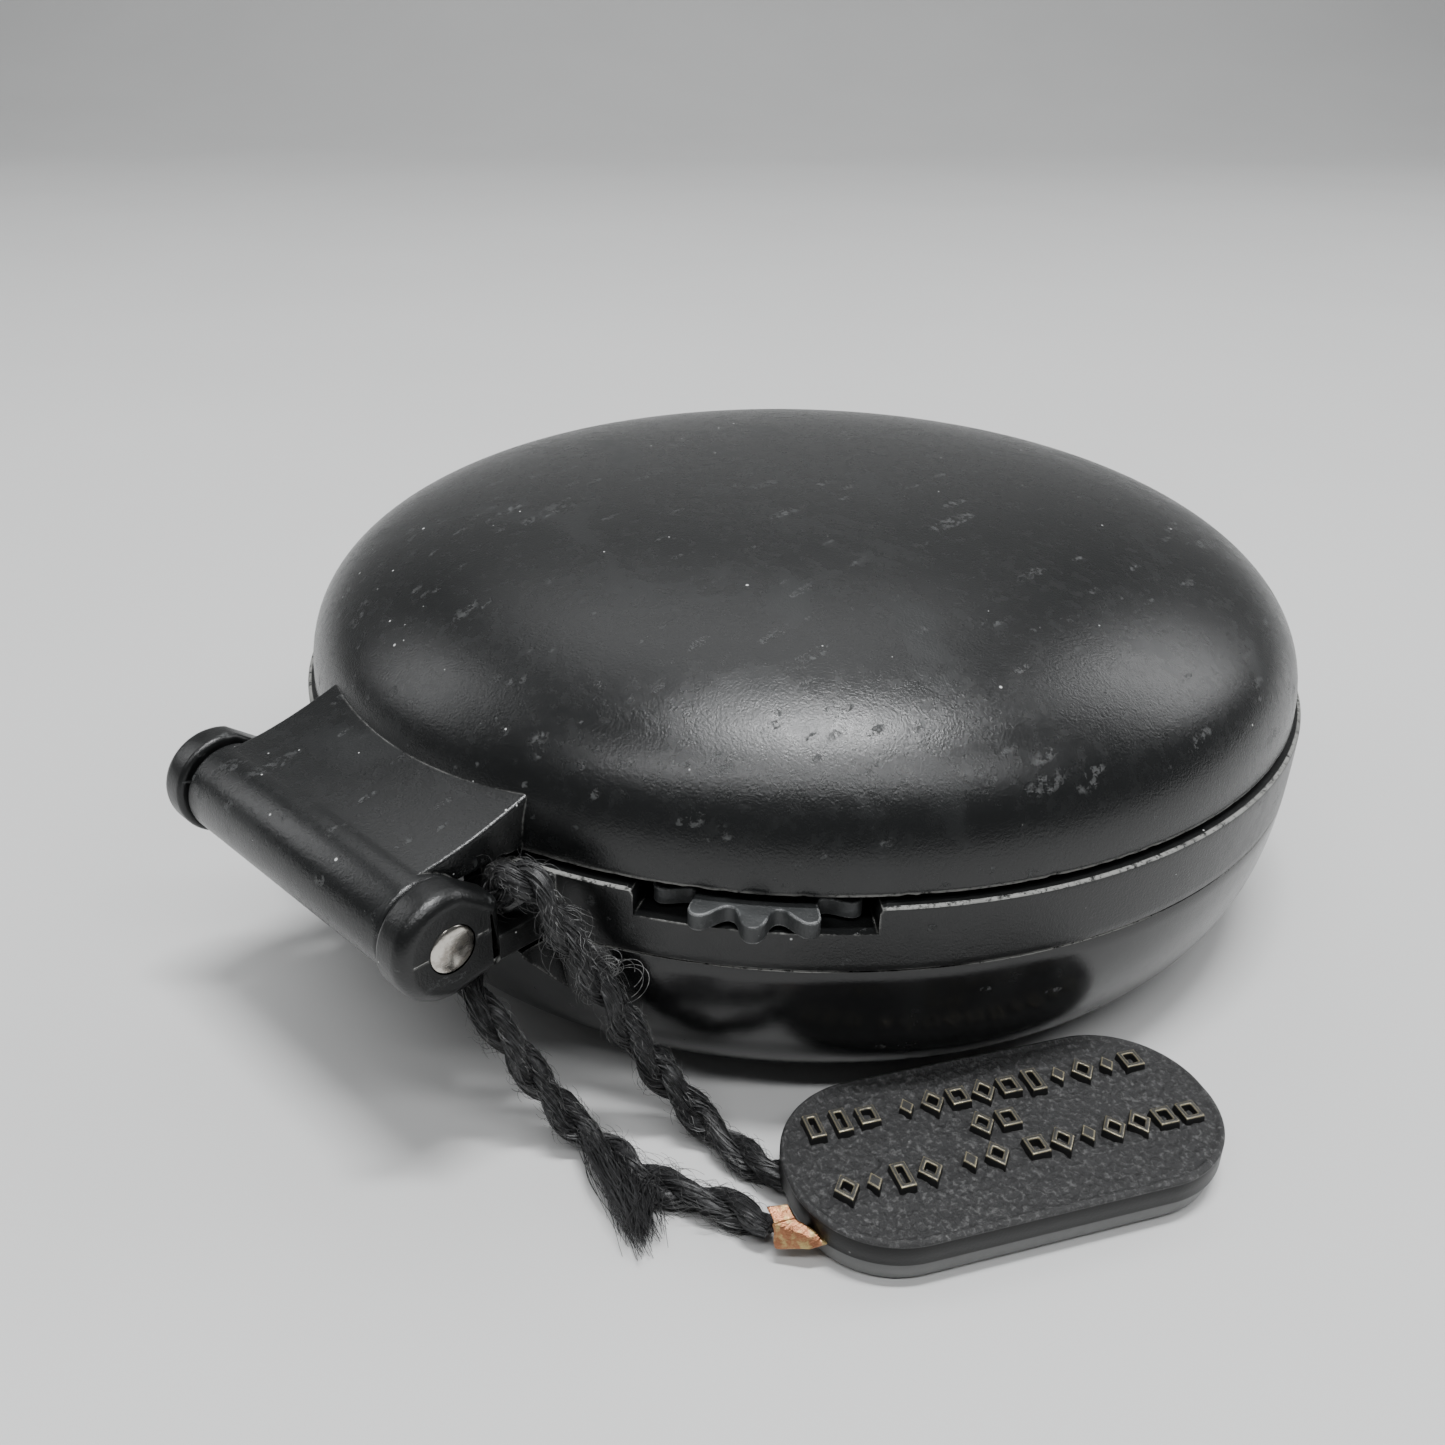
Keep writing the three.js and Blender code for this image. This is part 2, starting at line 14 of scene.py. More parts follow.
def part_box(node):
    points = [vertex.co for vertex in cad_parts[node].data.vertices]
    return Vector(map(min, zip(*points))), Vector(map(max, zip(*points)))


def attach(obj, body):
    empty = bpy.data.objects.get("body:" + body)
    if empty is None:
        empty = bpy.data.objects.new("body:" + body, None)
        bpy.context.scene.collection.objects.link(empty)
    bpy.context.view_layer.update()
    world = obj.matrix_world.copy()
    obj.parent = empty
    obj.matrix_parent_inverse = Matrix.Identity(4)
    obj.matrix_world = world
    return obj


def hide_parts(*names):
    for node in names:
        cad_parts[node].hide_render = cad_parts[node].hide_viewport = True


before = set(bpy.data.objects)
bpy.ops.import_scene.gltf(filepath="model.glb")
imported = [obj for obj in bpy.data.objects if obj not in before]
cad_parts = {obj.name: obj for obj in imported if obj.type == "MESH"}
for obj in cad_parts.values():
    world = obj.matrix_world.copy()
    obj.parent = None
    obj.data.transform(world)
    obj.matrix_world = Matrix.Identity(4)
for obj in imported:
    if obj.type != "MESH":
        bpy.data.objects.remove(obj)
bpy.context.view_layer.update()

MM = 0.001  # metres in a millimetre
TAU = 2 * math.pi

# ---- Driving dimensions, in millimetres ----


def cad(node):
    """Lowest and highest corners of a CAD node, in millimetres."""
    low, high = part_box(node)
    return low / MM, high / MM


PIN = cad("hinge_pin")
LID_BOX = cad("lid_shell")
SHELL_TOP = cad("lower_shell")[1].z
WHEEL_BOX = cad("thumbwheel")
FACE_BOX = cad("tag_face")
BASE_BOX = cad("tag_base")

HINGE_Y = (PIN[0].y + PIN[1].y) / 2
HINGE_Z = (PIN[0].z + PIN[1].z) / 2
PIN_R = (PIN[1].z - PIN[0].z) / 2
BORE_R = PIN_R + 0.03
BARREL_R, BARREL_HALF = 2.87, 10.2
KNUCKLE_R, KNUCKLE_IN, KNUCKLE_OUT = 3.22, 10.45, 12.74

# The case's outer curve: radius at the base, at the top, the height of the top, two exponents.
CASE_BASE_R, CASE_TOP_R, CASE_TOP_Z, CASE_RISE, CASE_BELLY = 23.3, 35.53, 15.74, 3.233, 3.089
PART_Z = SHELL_TOP + 0.06  # the parting line
SEAM = 0.025  # half the gap that shows there
EDGE_Z, DECK_Z, BAND_IN = 15.55, 13.9, 33.3
BLOCK_HALF, BLOCK_REAR = 12.1, -36.0
NOTCH_X, NOTCH_Y = 7.2, -34.4
SHELL_WALL, SHELL_FLOOR = 1.8, 2.0
CASE_SCREWS = ["case_screw_1", "case_screw_2", "case_screw_3"]
BEZEL_SCREWS = ["bezel_screw_1", "bezel_screw_2", "bezel_screw_3"]
SINK_R, SHANK_R = 2.2, 1.25  # the case screws' holes

# The lid's dome: rim radius and height, rise of the dome, two exponents, wall.
RIM_R, RIM_Z = LID_BOX[1].x, 15.89
DOME, DOME_RISE, DOME_BELLY, DOME_WALL = LID_BOX[1].z - RIM_Z, 2.44, 2.67, 2.0
LEAF_HALF, LEAF_UNDER, LEAF_ROOT = 9.65, 16.0, (-32.5, 19.45)

WHEEL_AT = Vector(((WHEEL_BOX[0].x + WHEEL_BOX[1].x) / 2, (WHEEL_BOX[0].y + WHEEL_BOX[1].y) / 2))
WHEEL_TURN = math.radians(-52.1)
WHEEL_LOBES, WHEEL_TIP, WHEEL_ROOT, WHEEL_SHARP = 12, 6.4, 4.8, 1.1
WINDOW = (-62.7, -41.5)  # degrees round the case
DIAL_TEETH, DIAL_TIP, DIAL_ROOT, DIAL_AXIS = 48, 24.95, 23.3, 30.6

TAG_AT, TAG_TURN = Vector((33.72, -20.42)), math.radians(61.06)
TAG_LENGTH, TAG_WIDTH, TAG_CORNER = 24.98, 11.75, 5.57

# The yarn's route, as in the CAD source: from the crimp, round the bar beside the hinge, to the tag.
ROUTE = [
    (28.3, -33.3, 1.3), (26.7, -33.4, 1.05), (25.0, -33.8, 1.0), (23.3, -34.6, 1.0),
    (21.2, -35.3, 1.0), (18.6, -35.5, 1.1), (16.2, -36.0, 2.0), (14.4, -36.8, 4.0),
    (13.0, -37.7, 6.6), (11.5, -38.3, 8.6), (9.6, -38.0, 10.3), (8.65, -37.2, 12.1),
    (9.0, -36.3, 13.8), (10.6, -36.0, 15.0), (11.7, -35.8, 16.4), (12.9, -35.6, 16.3),
    (13.9, -35.1, 14.6), (15.1, -34.3, 12.1), (16.2, -33.4, 9.4), (17.2, -32.5, 6.6),
    (18.5, -31.4, 3.8), (20.4, -30.6, 1.8), (22.7, -30.4, 1.05), (24.9, -30.4, 1.0),
]
TUCKED = [(26.2, -30.1, 1.2), (27.2, -29.4, 1.4)]  # where its end goes on into the tag

CAMERA_AT = Vector((60.18, -70.95, 56.86))
CAMERA_TO = Vector((-2.35, -7.92, 10.85))
CAMERA_ROLL, CAMERA_LENS, CAMERA_SHIFT = math.radians(0.35), 33.5, (0.0169, -0.0087)


# ---- Camera ----


def make_camera():
    data = bpy.data.cameras.new("camera")
    data.lens, data.sensor_width = CAMERA_LENS, 36
    data.shift_x, data.shift_y = CAMERA_SHIFT
    data.clip_start, data.clip_end = 0.005, 20
    camera = bpy.data.objects.new("camera", data)
    bpy.context.scene.collection.objects.link(camera)
    camera.location = CAMERA_AT * MM
    camera.rotation_mode = "QUATERNION"
    aim = (CAMERA_TO - CAMERA_AT).to_track_quat("-Z", "Y")
    camera.rotation_quaternion = aim @ Quaternion((0, 0, 1), CAMERA_ROLL)
    bpy.context.scene.camera = camera


# ---- Material nodes ----


class Nodes:
    """A material's node tree, with one short call for each kind of node that is used here."""

    INPUTS = {"colour": "Base Color", "roughness": "Roughness", "normal": "Normal",
              "metallic": "Metallic", "ior": "IOR", "specular": "Specular IOR Level",
              "sheen": "Sheen Weight", "sheen_roughness": "Sheen Roughness",
              "transmission": "Transmission Weight"}

    def __init__(self, name):
        self.material = bpy.data.materials.new(name)
        self.material.use_nodes = True
        self.tree = self.material.node_tree
        self.place = self.add("ShaderNodeTexCoord").outputs["Object"]

    def add(self, kind, **settings):
        node = self.tree.nodes.new(kind)
        for key, value in settings.items():
            setattr(node, key, value)
        return node

    def feed(self, socket, value):
        if isinstance(value, bpy.types.NodeSocket):
            self.tree.links.new(value, socket)
        else:
            socket.default_value = value

    def math(self, operation, *values, clamp=False):
        node = self.add("ShaderNodeMath", operation=operation, use_clamp=clamp)
        for socket, value in zip(node.inputs, values):
            self.feed(socket, value)
        return node.outputs[0]

    def times(self, a, b):
        return self.math("MULTIPLY", a, b)

    def plus(self, a, b, clamp=False):
        return self.math("ADD", a, b, clamp=clamp)

    def most(self, a, b):
        return self.math("MAXIMUM", a, b)

    def off(self, value, target):
        return self.math("ABSOLUTE", self.math("SUBTRACT", value, target))

    def ramp(self, value, low, high):
        """0 to 1 as value goes from low to high, smoothly."""
        node = self.add("ShaderNodeMapRange", interpolation_type="SMOOTHSTEP")
        for socket, number in zip(node.inputs, (value, low, high, 0.0, 1.0)):
            self.feed(socket, number)
        return node.outputs[0]

    def stretched(self, scale, turn):
        node = self.add("ShaderNodeMapping")
        self.feed(node.inputs["Vector"], self.place)
        node.inputs["Scale"].default_value = scale
        node.inputs["Rotation"].default_value = turn
        return node.outputs[0]

    def axes(self):
        node = self.add("ShaderNodeSeparateXYZ")
        self.feed(node.inputs[0], self.place)
        return node.outputs

    def noise(self, size, detail=3.0, rough=0.5, place=None, distortion=0.0):
        """Noise between 0 and 1 whose features are about size millimetres."""
        node = self.add("ShaderNodeTexNoise")
        self.feed(node.inputs["Vector"], place or self.place)
        for key, number in (("Scale", 1 / (size * MM)), ("Detail", detail),
                            ("Roughness", rough), ("Distortion", distortion)):
            node.inputs[key].default_value = number
        return node.outputs["Fac"]

    def ragged(self, size, low, high, detail=5, rough=0.8):
        """Noise cut to islands: 0 below low and 1 above high."""
        return self.ramp(self.noise(size, detail, rough), low, high)

    def dots(self, size, radius, share, place=None):
        """1 inside a round dot in a share of the cells of about size millimetres, else 0."""
        node = self.add("ShaderNodeTexVoronoi")
        self.feed(node.inputs["Vector"], place or self.place)
        node.inputs["Scale"].default_value = 1 / (size * MM)
        cell = self.add("ShaderNodeSeparateColor")
        self.feed(cell.inputs[0], node.outputs["Color"])
        dot = self.ramp(node.outputs["Distance"], radius, radius * 0.6)
        return self.times(dot, self.math("LESS_THAN", cell.outputs[0], share))

    def mix(self, amount, a, b):
        """A colour between a and b."""
        node = self.add("ShaderNodeMix", data_type="RGBA")
        self.feed(node.inputs[0], amount)
        for socket, colour in ((node.inputs[6], a), (node.inputs[7], b)):
            self.feed(socket, (*colour, 1) if isinstance(colour, tuple) else colour)
        return node.outputs[2]

    def blend(self, amount, a, b):
        """A number between a and b."""
        node = self.add("ShaderNodeMix")
        for socket, value in zip((node.inputs[0], node.inputs[2], node.inputs[3]), (amount, a, b)):
            self.feed(socket, value)
        return node.outputs[0]

    def edges(self, width, low, high):
        """1 on edges that turn within width millimetres, 0 on flat and gently curved faces."""
        soft = self.add("ShaderNodeBevel", samples=6)
        soft.inputs["Radius"].default_value = width * MM
        dot = self.add("ShaderNodeVectorMath", operation="DOT_PRODUCT")
        self.feed(dot.inputs[0], soft.outputs[0])
        self.feed(dot.inputs[1], self.add("ShaderNodeNewGeometry").outputs["Normal"])
        return self.ramp(self.math("SUBTRACT", 1.0, dot.outputs["Value"]), low, high)

    def bump(self, height, depth, under=None):
        node = self.add("ShaderNodeBump")
        node.inputs["Strength"].default_value = 1.0
        node.inputs["Distance"].default_value = depth * MM
        self.feed(node.inputs["Height"], height)
        if under is not None:
            self.feed(node.inputs["Normal"], under)
        return node.outputs[0]

    def set(self, **inputs):
        shader = self.tree.nodes["Principled BSDF"]
        for key, value in inputs.items():
            self.feed(shader.inputs[self.INPUTS[key]],
                      (*value, 1) if isinstance(value, tuple) else value)
        return self.material


# Layers of dust specks (cell, dot radius, share of cells that hold one) and of scuffs, which
# are stretched dots (cell, turn, share); cells in millimetres.
SPECKS = ((2.1, 0.042, 0.55), (1.2, 0.050, 0.15), (4.6, 0.026, 0.9))
SCUFFS = ((2.6, 0.7, 0.7), (3.3, 2.0, 0.7), (1.7, 2.9, 0.6), (1.2, 1.3, 0.6))
BLACK_TINT, SCUFF_GREY, DUST_GREY = (0.92, 0.98, 1.0), (0.11, 0.115, 0.115), (0.62, 0.63, 0.62)


def moulded(name, tone=0.008, gloss=0.23, grain=1.0, dust=1.0, wear=1.0, scuffs=1.0, keen=0.25,
            bare=(0.30, 0.30, 0.285), rims=()):
    """Black moulded plastic with a fine grain, smudges, dust specks, scuffs and worn edges.

    Each of rims is (radius, height, width) in millimetres of a rubbed circular edge about Z."""
    n = Nodes(name)
    patches, fine = n.noise(9, 4, 0.6), n.noise(0.9, 5, 0.65)
    smudge = n.ramp(n.noise(13, 3, 0.55, n.stretched((1, 1.7, 1), (0, 0, 0.5)), 1.2), 0.50, 0.72)
    specks = flecks = 0.0
    for size, radius, share in SPECKS:
        specks = n.most(specks, n.dots(size, radius, share * dust))
    for size, turn, share in SCUFFS:
        place = n.stretched((1, 0.25, 1), (0.2, 0.1, turn))
        flecks = n.most(flecks, n.dots(size, 0.20, share * scuffs, place))
    cluster = n.ragged(11, 0.44, 0.62, 2, 0.5)
    flecks = n.times(n.times(flecks, n.ragged(0.45, 0.50, 0.62)), n.blend(cluster, 0.55, 1.0))
    worn = n.times(n.edges(0.20, 0.08 * keen, keen), n.ragged(1.3, 0.40, 0.62, 5, 0.7))
    worn = n.times(worn, wear)
    x, y, z = n.axes()
    out = n.math("SQRT", n.plus(n.times(x, x), n.times(y, y)))
    for radius, height, width in rims:
        near = n.times(n.ramp(n.off(out, radius * MM), width * 1.4 * MM, width * MM),
                       n.ramp(n.off(z, height * MM), width * MM, width * 0.5 * MM))
        chips = n.times(n.ragged(0.5, 0.38, 0.50), n.ragged(9, 0.34, 0.50, 2, 0.5))
        worn = n.most(worn, n.times(near, chips))
    shade = n.plus(n.blend(patches, tone * 0.8, tone * 1.3), n.times(smudge, tone * 0.8))
    shade = n.plus(shade, n.times(n.ramp(fine, 0.5, 0.8), tone * 0.6))
    base = n.mix(shade, (0, 0, 0), BLACK_TINT)
    for mask, strength, colour in ((flecks, 0.6, SCUFF_GREY), (worn, 0.75, bare),
                                   (specks, 0.9, DUST_GREY)):
        base = n.mix(n.times(mask, strength), base, colour)
    rough = n.plus(n.blend(patches, gloss - 0.03, gloss + 0.05), n.times(smudge, 0.07))
    rough = n.plus(rough, n.times(n.ramp(fine, 0.35, 0.75), 0.06))
    marked = n.most(n.most(worn, specks), flecks)
    rough = n.plus(rough, n.times(marked, 0.25), clamp=True)
    pores = n.bump(n.noise(0.15, 3, 0.6), 0.022 * grain)
    waves = n.bump(n.noise(1.1, 4, 0.6), 0.014 * grain, pores)
    chipped = n.bump(n.math("SUBTRACT", 1.0, n.most(worn, flecks)), 0.02, waves)
    return n.set(colour=base, roughness=rough, normal=chipped)


def metal(name, colour, gloss, grain, tarnish=(0.2, 0.2, 0.2), amount=0.25, patch=1.2):
    """Brushed metal with patches of tarnish."""
    n = Nodes(name)
    cloud = n.ragged(patch, 0.45, 0.62, 5, 0.65)
    hair = n.noise(0.12, 3, 0.6, n.stretched((1, 0.12, 1), (0.2, 0.5, 0.3)))
    rough = n.plus(n.times(cloud, 0.12), n.blend(hair, gloss * 0.8, gloss * 1.3), clamp=True)
    return n.set(colour=n.mix(n.times(cloud, amount), colour, tarnish), roughness=rough,
                 metallic=1.0, normal=n.bump(n.plus(hair, n.noise(0.7)), 0.01 * grain))


def silvered(name, colour, haze_colour):
    """Mirror glass, with a little dust and haze on it and no waves."""
    n = Nodes(name)
    haze = n.ragged(7, 0.5, 0.8, 4, 0.6)
    dust_and_highlight = n.dots(2.4, 0.045, 0.3)
    base = n.mix(n.times(haze, 0.25), colour, haze_colour)
    return n.set(colour=n.mix(dust_and_highlight, base, (0.45, 0.45, 0.44)),
                 roughness=n.plus(n.blend(haze, 0.012, 0.035), n.times(dust_and_highlight, 0.5)),
                 metallic=n.math("SUBTRACT", 1.0, dust_and_highlight))


def painted(name, colour, gloss, speckle):
    """A thin paint or print, or a dull moulding, a little uneven."""
    n = Nodes(name)
    uneven = n.noise(0.5, 4, 0.6)
    base = n.mix(n.times(uneven, speckle), colour, tuple(c * 0.55 for c in colour))
    return n.set(colour=base, roughness=n.blend(uneven, gloss - 0.08, gloss + 0.1),
                 normal=n.bump(n.noise(0.2, 2), 0.006))


def clear(name):
    """Clear moulded plastic, faintly hazy."""
    n, tint = Nodes(name), (0.93, 0.97, 0.98)
    haze = n.noise(5, 4, 0.6)
    return n.set(colour=n.mix(haze, tint, tuple(c * 0.96 for c in tint)), ior=1.49,
                 transmission=1.0, normal=n.bump(n.noise(3, 2), 0.004),
                 roughness=n.blend(n.ramp(haze, 0.5, 0.8), 0.03, 0.08))


def yarn_material(name, dark, light):
    """Fibres: darker and lighter ones side by side, with a soft shine along them and some lint."""
    n = Nodes(name)
    lint = n.ragged(1.4, 0.55, 0.72, 4, 0.7)
    base = n.mix(n.ragged(0.35, 0.40, 0.66, 4, 0.75), dark, light)
    return n.set(colour=n.mix(n.times(lint, 0.3), base, tuple(c * 2.2 for c in light)),
                 roughness=0.46, sheen=0.12, sheen_roughness=0.4,
                 normal=n.bump(n.noise(0.07, 2), 0.02))


def tag_black_material():
    """Black plastic with a spark-eroded field whose high points are painted light grey: a painted highlight
    for the grain's glints, along with some wear from rubbing.
    """
    n = Nodes("tag_black")
    pits = n.noise(0.30, 5, 0.75)
    peaks = n.ramp(pits, 0.50, 0.66)
    top = n.ramp(n.axes()[2], (FIELD_Z - 0.16) * MM, (FIELD_Z - 0.08) * MM)
    # The grain's high points are painted light grey: a painted highlight standing in for its glints, and
    # partly wear from rubbing.
    dust_and_highlight = n.times(n.times(peaks, top), 0.85)
    edge = n.times(n.edges(0.25, 0.01, 0.10), n.ragged(0.8, 0.3, 0.55, 4, 0.6))
    specks = n.dots(1.6, 0.05, 0.25)
    base = n.mix(top, (0.004, 0.004, 0.004), (0.014, 0.014, 0.0145))
    base = n.mix(dust_and_highlight, base, (0.10, 0.10, 0.099))
    base = n.mix(n.times(n.most(edge, specks), 0.7), base, (0.26, 0.26, 0.255))
    normal = n.bump(n.times(pits, top), 0.15, n.bump(n.noise(0.15), 0.008))
    return n.set(colour=base, roughness=n.blend(top, 0.40, n.blend(peaks, 0.5, 0.28)),
                 normal=normal, specular=n.blend(top, 0.22, 0.55))


def mark_material():
    """The raised marks: tops painted lighter than their sides, whose darkness is painted shade, and a brassy
    top edge that is partly worn by rubbing and partly a painted highlight.
    """
    n = Nodes("tag_marks")
    # Painted shade: the marks' sides are painted darker than their tops.
    high = n.ramp(n.axes()[2], (MARK_TOP - 0.14) * MM, (MARK_TOP - 0.03) * MM)
    # The brassy rim on the marks' top edges is partly wear and partly a painted highlight.
    rubbed = n.times(n.edges(0.16, 0.01, 0.10), n.ragged(0.7, 0.30, 0.50, 4, 0.7))
    rubbed = n.times(rubbed, high)
    base = n.mix(high, (0.006, 0.006, 0.006), (0.035, 0.035, 0.034))
    return n.set(colour=n.mix(rubbed, base, (0.80, 0.70, 0.44)),
                 roughness=n.blend(rubbed, 0.38, 0.30), metallic=n.times(rubbed, 0.75),
                 normal=n.bump(n.noise(0.3, 4, 0.7), 0.03))


def floor_material():
    n = Nodes("floor")
    return n.set(colour=n.mix(n.noise(60), (0.60, 0.60, 0.595), (0.65, 0.65, 0.645)),
                 roughness=0.55, normal=n.bump(n.noise(1.2), 0.01))


# ---- Mesh building ----


def mesh_object(name, verts, faces):
    mesh = bpy.data.meshes.new(name)
    mesh.from_pydata([tuple(v) for v in verts], [], faces)
    mesh.update()
    shape = bpy.data.objects.new(name, mesh)
    bpy.context.scene.collection.objects.link(shape)
    return shape


def tidy_mesh(shape, sharp=32):
    """Welds the mesh, points its faces out, and shades it smooth up to an angle in degrees."""
    work = bmesh.new()
    work.from_mesh(shape.data)
    bmesh.ops.remove_doubles(work, verts=work.verts, dist=1e-7)
    bmesh.ops.recalc_face_normals(work, faces=work.faces)
    for face in work.faces:
        face.smooth = True
    for edge in work.edges:
        edge.smooth = len(edge.link_faces) == 2 and edge.calc_face_angle(0) < math.radians(sharp)
    work.to_mesh(shape.data)
    work.free()


def clothe(shape, material):
    shape.data.materials.clear()
    shape.data.materials.append(material)


def publish(shape, body, slot, material, *stands_for, sharp=32):
    """Scales a finished shape to metres and makes it a piece of the object."""
    shape.data.transform(Matrix.Scale(MM, 4))
    tidy_mesh(shape, sharp)
    clothe(shape, material)
    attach(shape, body)
    if stands_for:
        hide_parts(*stands_for)
    return shape


def rounded(corners, closed=True, steps=5):
    """A polyline through corners, each (a, b) or, where it is to be rounded, (a, b, radius)."""
    line, count = [], len(corners)
    for i, corner in enumerate(corners):
        radius = corner[2] if len(corner) > 2 else 0
        if not radius or (not closed and i in (0, count - 1)):
            line.append(corner[:2])
            continue
        here, last, following = (Vector(corners[k % count][:2]) for k in (i, i - 1, i + 1))
        a, b = last - here, following - here
        half = a.angle(b) / 2
        reach = min(radius / math.tan(half), 0.49 * a.length, 0.49 * b.length)
        a, b = a.normalized(), b.normalized()
        centre = here + (a + b).normalized() * (reach / math.cos(half))
        start, end = here + a * reach - centre, here + b * reach - centre
        sweep = start.angle_signed(end)
        for k in range(steps + 1):
            line.append(tuple(centre + Matrix.Rotation(-sweep * k / steps, 2) @ start))
    return line


def lathe(name, profile, segments=160, wobble=None):
    """A solid of revolution about Z, closed at the axis where its profile starts and ends there."""
    capped = profile[0][0] < 1e-9
    rings = profile[1:-1] if capped else profile
    verts = []
    for r, z in rings:
        for i in range(segments):
            angle = TAU * i / segments
            dr, dz = wobble(r, z, angle) if wobble else (0, 0)
            verts.append(((r + dr) * math.cos(angle), (r + dr) * math.sin(angle), z + dz))
    faces = []
    spans = range(len(rings) - 1) if capped else range(len(rings))
    for k in spans:
        low, high = k * segments, (k + 1) % len(rings) * segments
        for i in range(segments):
            j = (i + 1) % segments
            faces.append((low + i, low + j, high + j, high + i))
    if capped:
        for ring, tip in ((0, profile[0]), (len(rings) - 1, profile[-1])):
            verts.append((0, 0, tip[1]))
            for i in range(segments):
                j = (i + 1) % segments
                a, b = ring * segments + i, ring * segments + j
                faces.append((b, a, len(verts) - 1) if ring == 0 else (a, b, len(verts) - 1))
    return mesh_object(name, verts, faces)


def slab(name, outline, levels):
    """An upright slab, capped: a closed outline, inset by each level's amount at its height."""
    count = len(outline)
    points = [Vector(p) for p in outline]
    inward = []
    for i, here in enumerate(points):
        ahead = (points[(i + 1) % count] - here).normalized()
        along = ahead + (here - points[i - 1]).normalized()
        side = Vector((-along.y, along.x)).normalized()
        inward.append(side / max(0.3, side.dot(Vector((-ahead.y, ahead.x)))))
    verts = [(*(p + n * inset), z) for inset, z in levels for p, n in zip(points, inward)]
    faces = [tuple(reversed(range(count)))]
    for k in range(len(levels) - 1):
        for i in range(count):
            j = (i + 1) % count
            faces.append((k * count + i, k * count + j, (k + 1) * count + j, (k + 1) * count + i))
    faces.append(tuple(range((len(levels) - 1) * count, len(levels) * count)))
    return mesh_object(name, verts, faces)


def cylinder(name, r, low, high, segments):
    return lathe(name, [(0, low), (r, low), (r, high), (0, high)], segments)


def quarter(steps):
    """Angles from 0 to a right angle."""
    return [math.pi / 2 * k / steps for k in range(steps + 1)]


def soft_edges(low, high, radius, steps=4):
    """Slab levels from low to high whose top and bottom edges are rounded by radius."""
    arc = [(radius * (1 - math.sin(t)), radius * (1 - math.cos(t))) for t in quarter(steps)]
    return [*((inset, low + rise) for inset, rise in arc),
            *((inset, high - rise) for inset, rise in reversed(arc))]


def box(name, low, high, radius=0.0):
    """A block between two corners with its upright and level edges rounded."""
    (x0, y0, z0), (x1, y1, z1) = low, high
    corners = [(x0, y0), (x1, y0), (x1, y1), (x0, y1)]
    if not radius:
        return slab(name, corners, [(0, z0), (0, z1)])
    return slab(name, rounded([(*c, radius * 1.6) for c in corners]), soft_edges(z0, z1, radius))


# From (u, v, w) to (w, u, v): what was upright now lies along X, and its plan is a side view.
SIDEWAYS = Matrix(((0, 0, 1, 0), (1, 0, 0, 0), (0, 1, 0, 0), (0, 0, 0, 1)))
ON_HINGE = Matrix.Translation((0, HINGE_Y, HINGE_Z)) @ SIDEWAYS


def moved(shape, matrix):
    shape.data.transform(matrix)
    return shape


def combine(shape, other, operation):
    """Joins ("UNION") or cuts ("DIFFERENCE") shape by other, which is used up."""
    modifier = shape.modifiers.new("combine", "BOOLEAN")
    modifier.object, modifier.operation, modifier.solver = other, operation, "EXACT"
    graph = bpy.context.evaluated_depsgraph_get()
    made = bpy.data.meshes.new_from_object(shape.evaluated_get(graph))
    shape.modifiers.clear()
    shape.data = made
    bpy.data.objects.remove(other)
    return shape


def joined(name, shapes):
    """One object from several shapes that stay separate shells."""
    work = bmesh.new()
    for shape in shapes:
        work.from_mesh(shape.data)
        bpy.data.objects.remove(shape)
    whole = mesh_object(name, [], [])
    work.to_mesh(whole.data)
    work.free()
    return whole


def around(r, degrees):
    return Vector((r * math.cos(math.radians(degrees)), r * math.sin(math.radians(degrees))))


def upright(at):
    """A move on the level to a point's x and y."""
    return Matrix.Translation((at.x, at.y, 0))


# ---- Case ----


def case_r(z):
    down = max(0.0, 1 - z / CASE_TOP_Z)
    return CASE_BASE_R + (CASE_TOP_R - CASE_BASE_R) * (1 - down ** CASE_RISE) ** (1 / CASE_BELLY)


def spaced(low, high, count, power=1.0):
    return [low + (high - low) * (k / count) ** power for k in range(count + 1)]


def make_lower_shell(material):
    top = PART_Z - SEAM
    outside = [(case_r(z), z) for z in spaced(0.25, top - 0.06, 26, 2.2)]
    lip = [(case_r(top) - 0.02, top - 0.015), (case_r(top) - 0.06, top)]
    inside = [(case_r(max(0, z - 1.2)) - SHELL_WALL, z)
              for z in reversed(spaced(SHELL_FLOOR, top, 16, 1.8))]
    base = [(0, 0), (CASE_BASE_R - 1.6, 0), (CASE_BASE_R - 0.5, 0.02), (CASE_BASE_R + 0.15, 0.1)]
    shell = lathe("lower_shell_body", [*base, *outside, *lip, *inside, (0, SHELL_FLOOR)], 240)
    toe = [(BLOCK_REAR, top, 0.12), (-30, 4, 0.6), (-25.5, 4), (-25.5, top - 0.5),
           (-33.6, top - 0.5), (-33.8, top)]
    wedge = moved(slab("toe", rounded(toe)[::-1], soft_edges(-BLOCK_HALF, BLOCK_HALF, 0.12)), SIDEWAYS)
    combine(shell, wedge, "UNION")
    notch = box("notch", (NOTCH_X, BLOCK_REAR - 1, 9), (KNUCKLE_IN, NOTCH_Y - 0.6, 13))
    combine(shell, notch, "DIFFERENCE")
    for screw in CASE_SCREWS:
        low, high = cad(screw)
        hole = lathe("hole", [(0, -1), (SINK_R + 0.15, -1), (SINK_R + 0.15, -0.01), (SINK_R, 0.15),
                              (SINK_R, 1.6), (SHANK_R, 1.6), (SHANK_R, 3.2), (0, 3.2)], 48)
        combine(shell, moved(hole, upright((low + high) / 2)), "DIFFERENCE")
    return publish(shell, "case", "shell_plastic", material, "lower_shell")


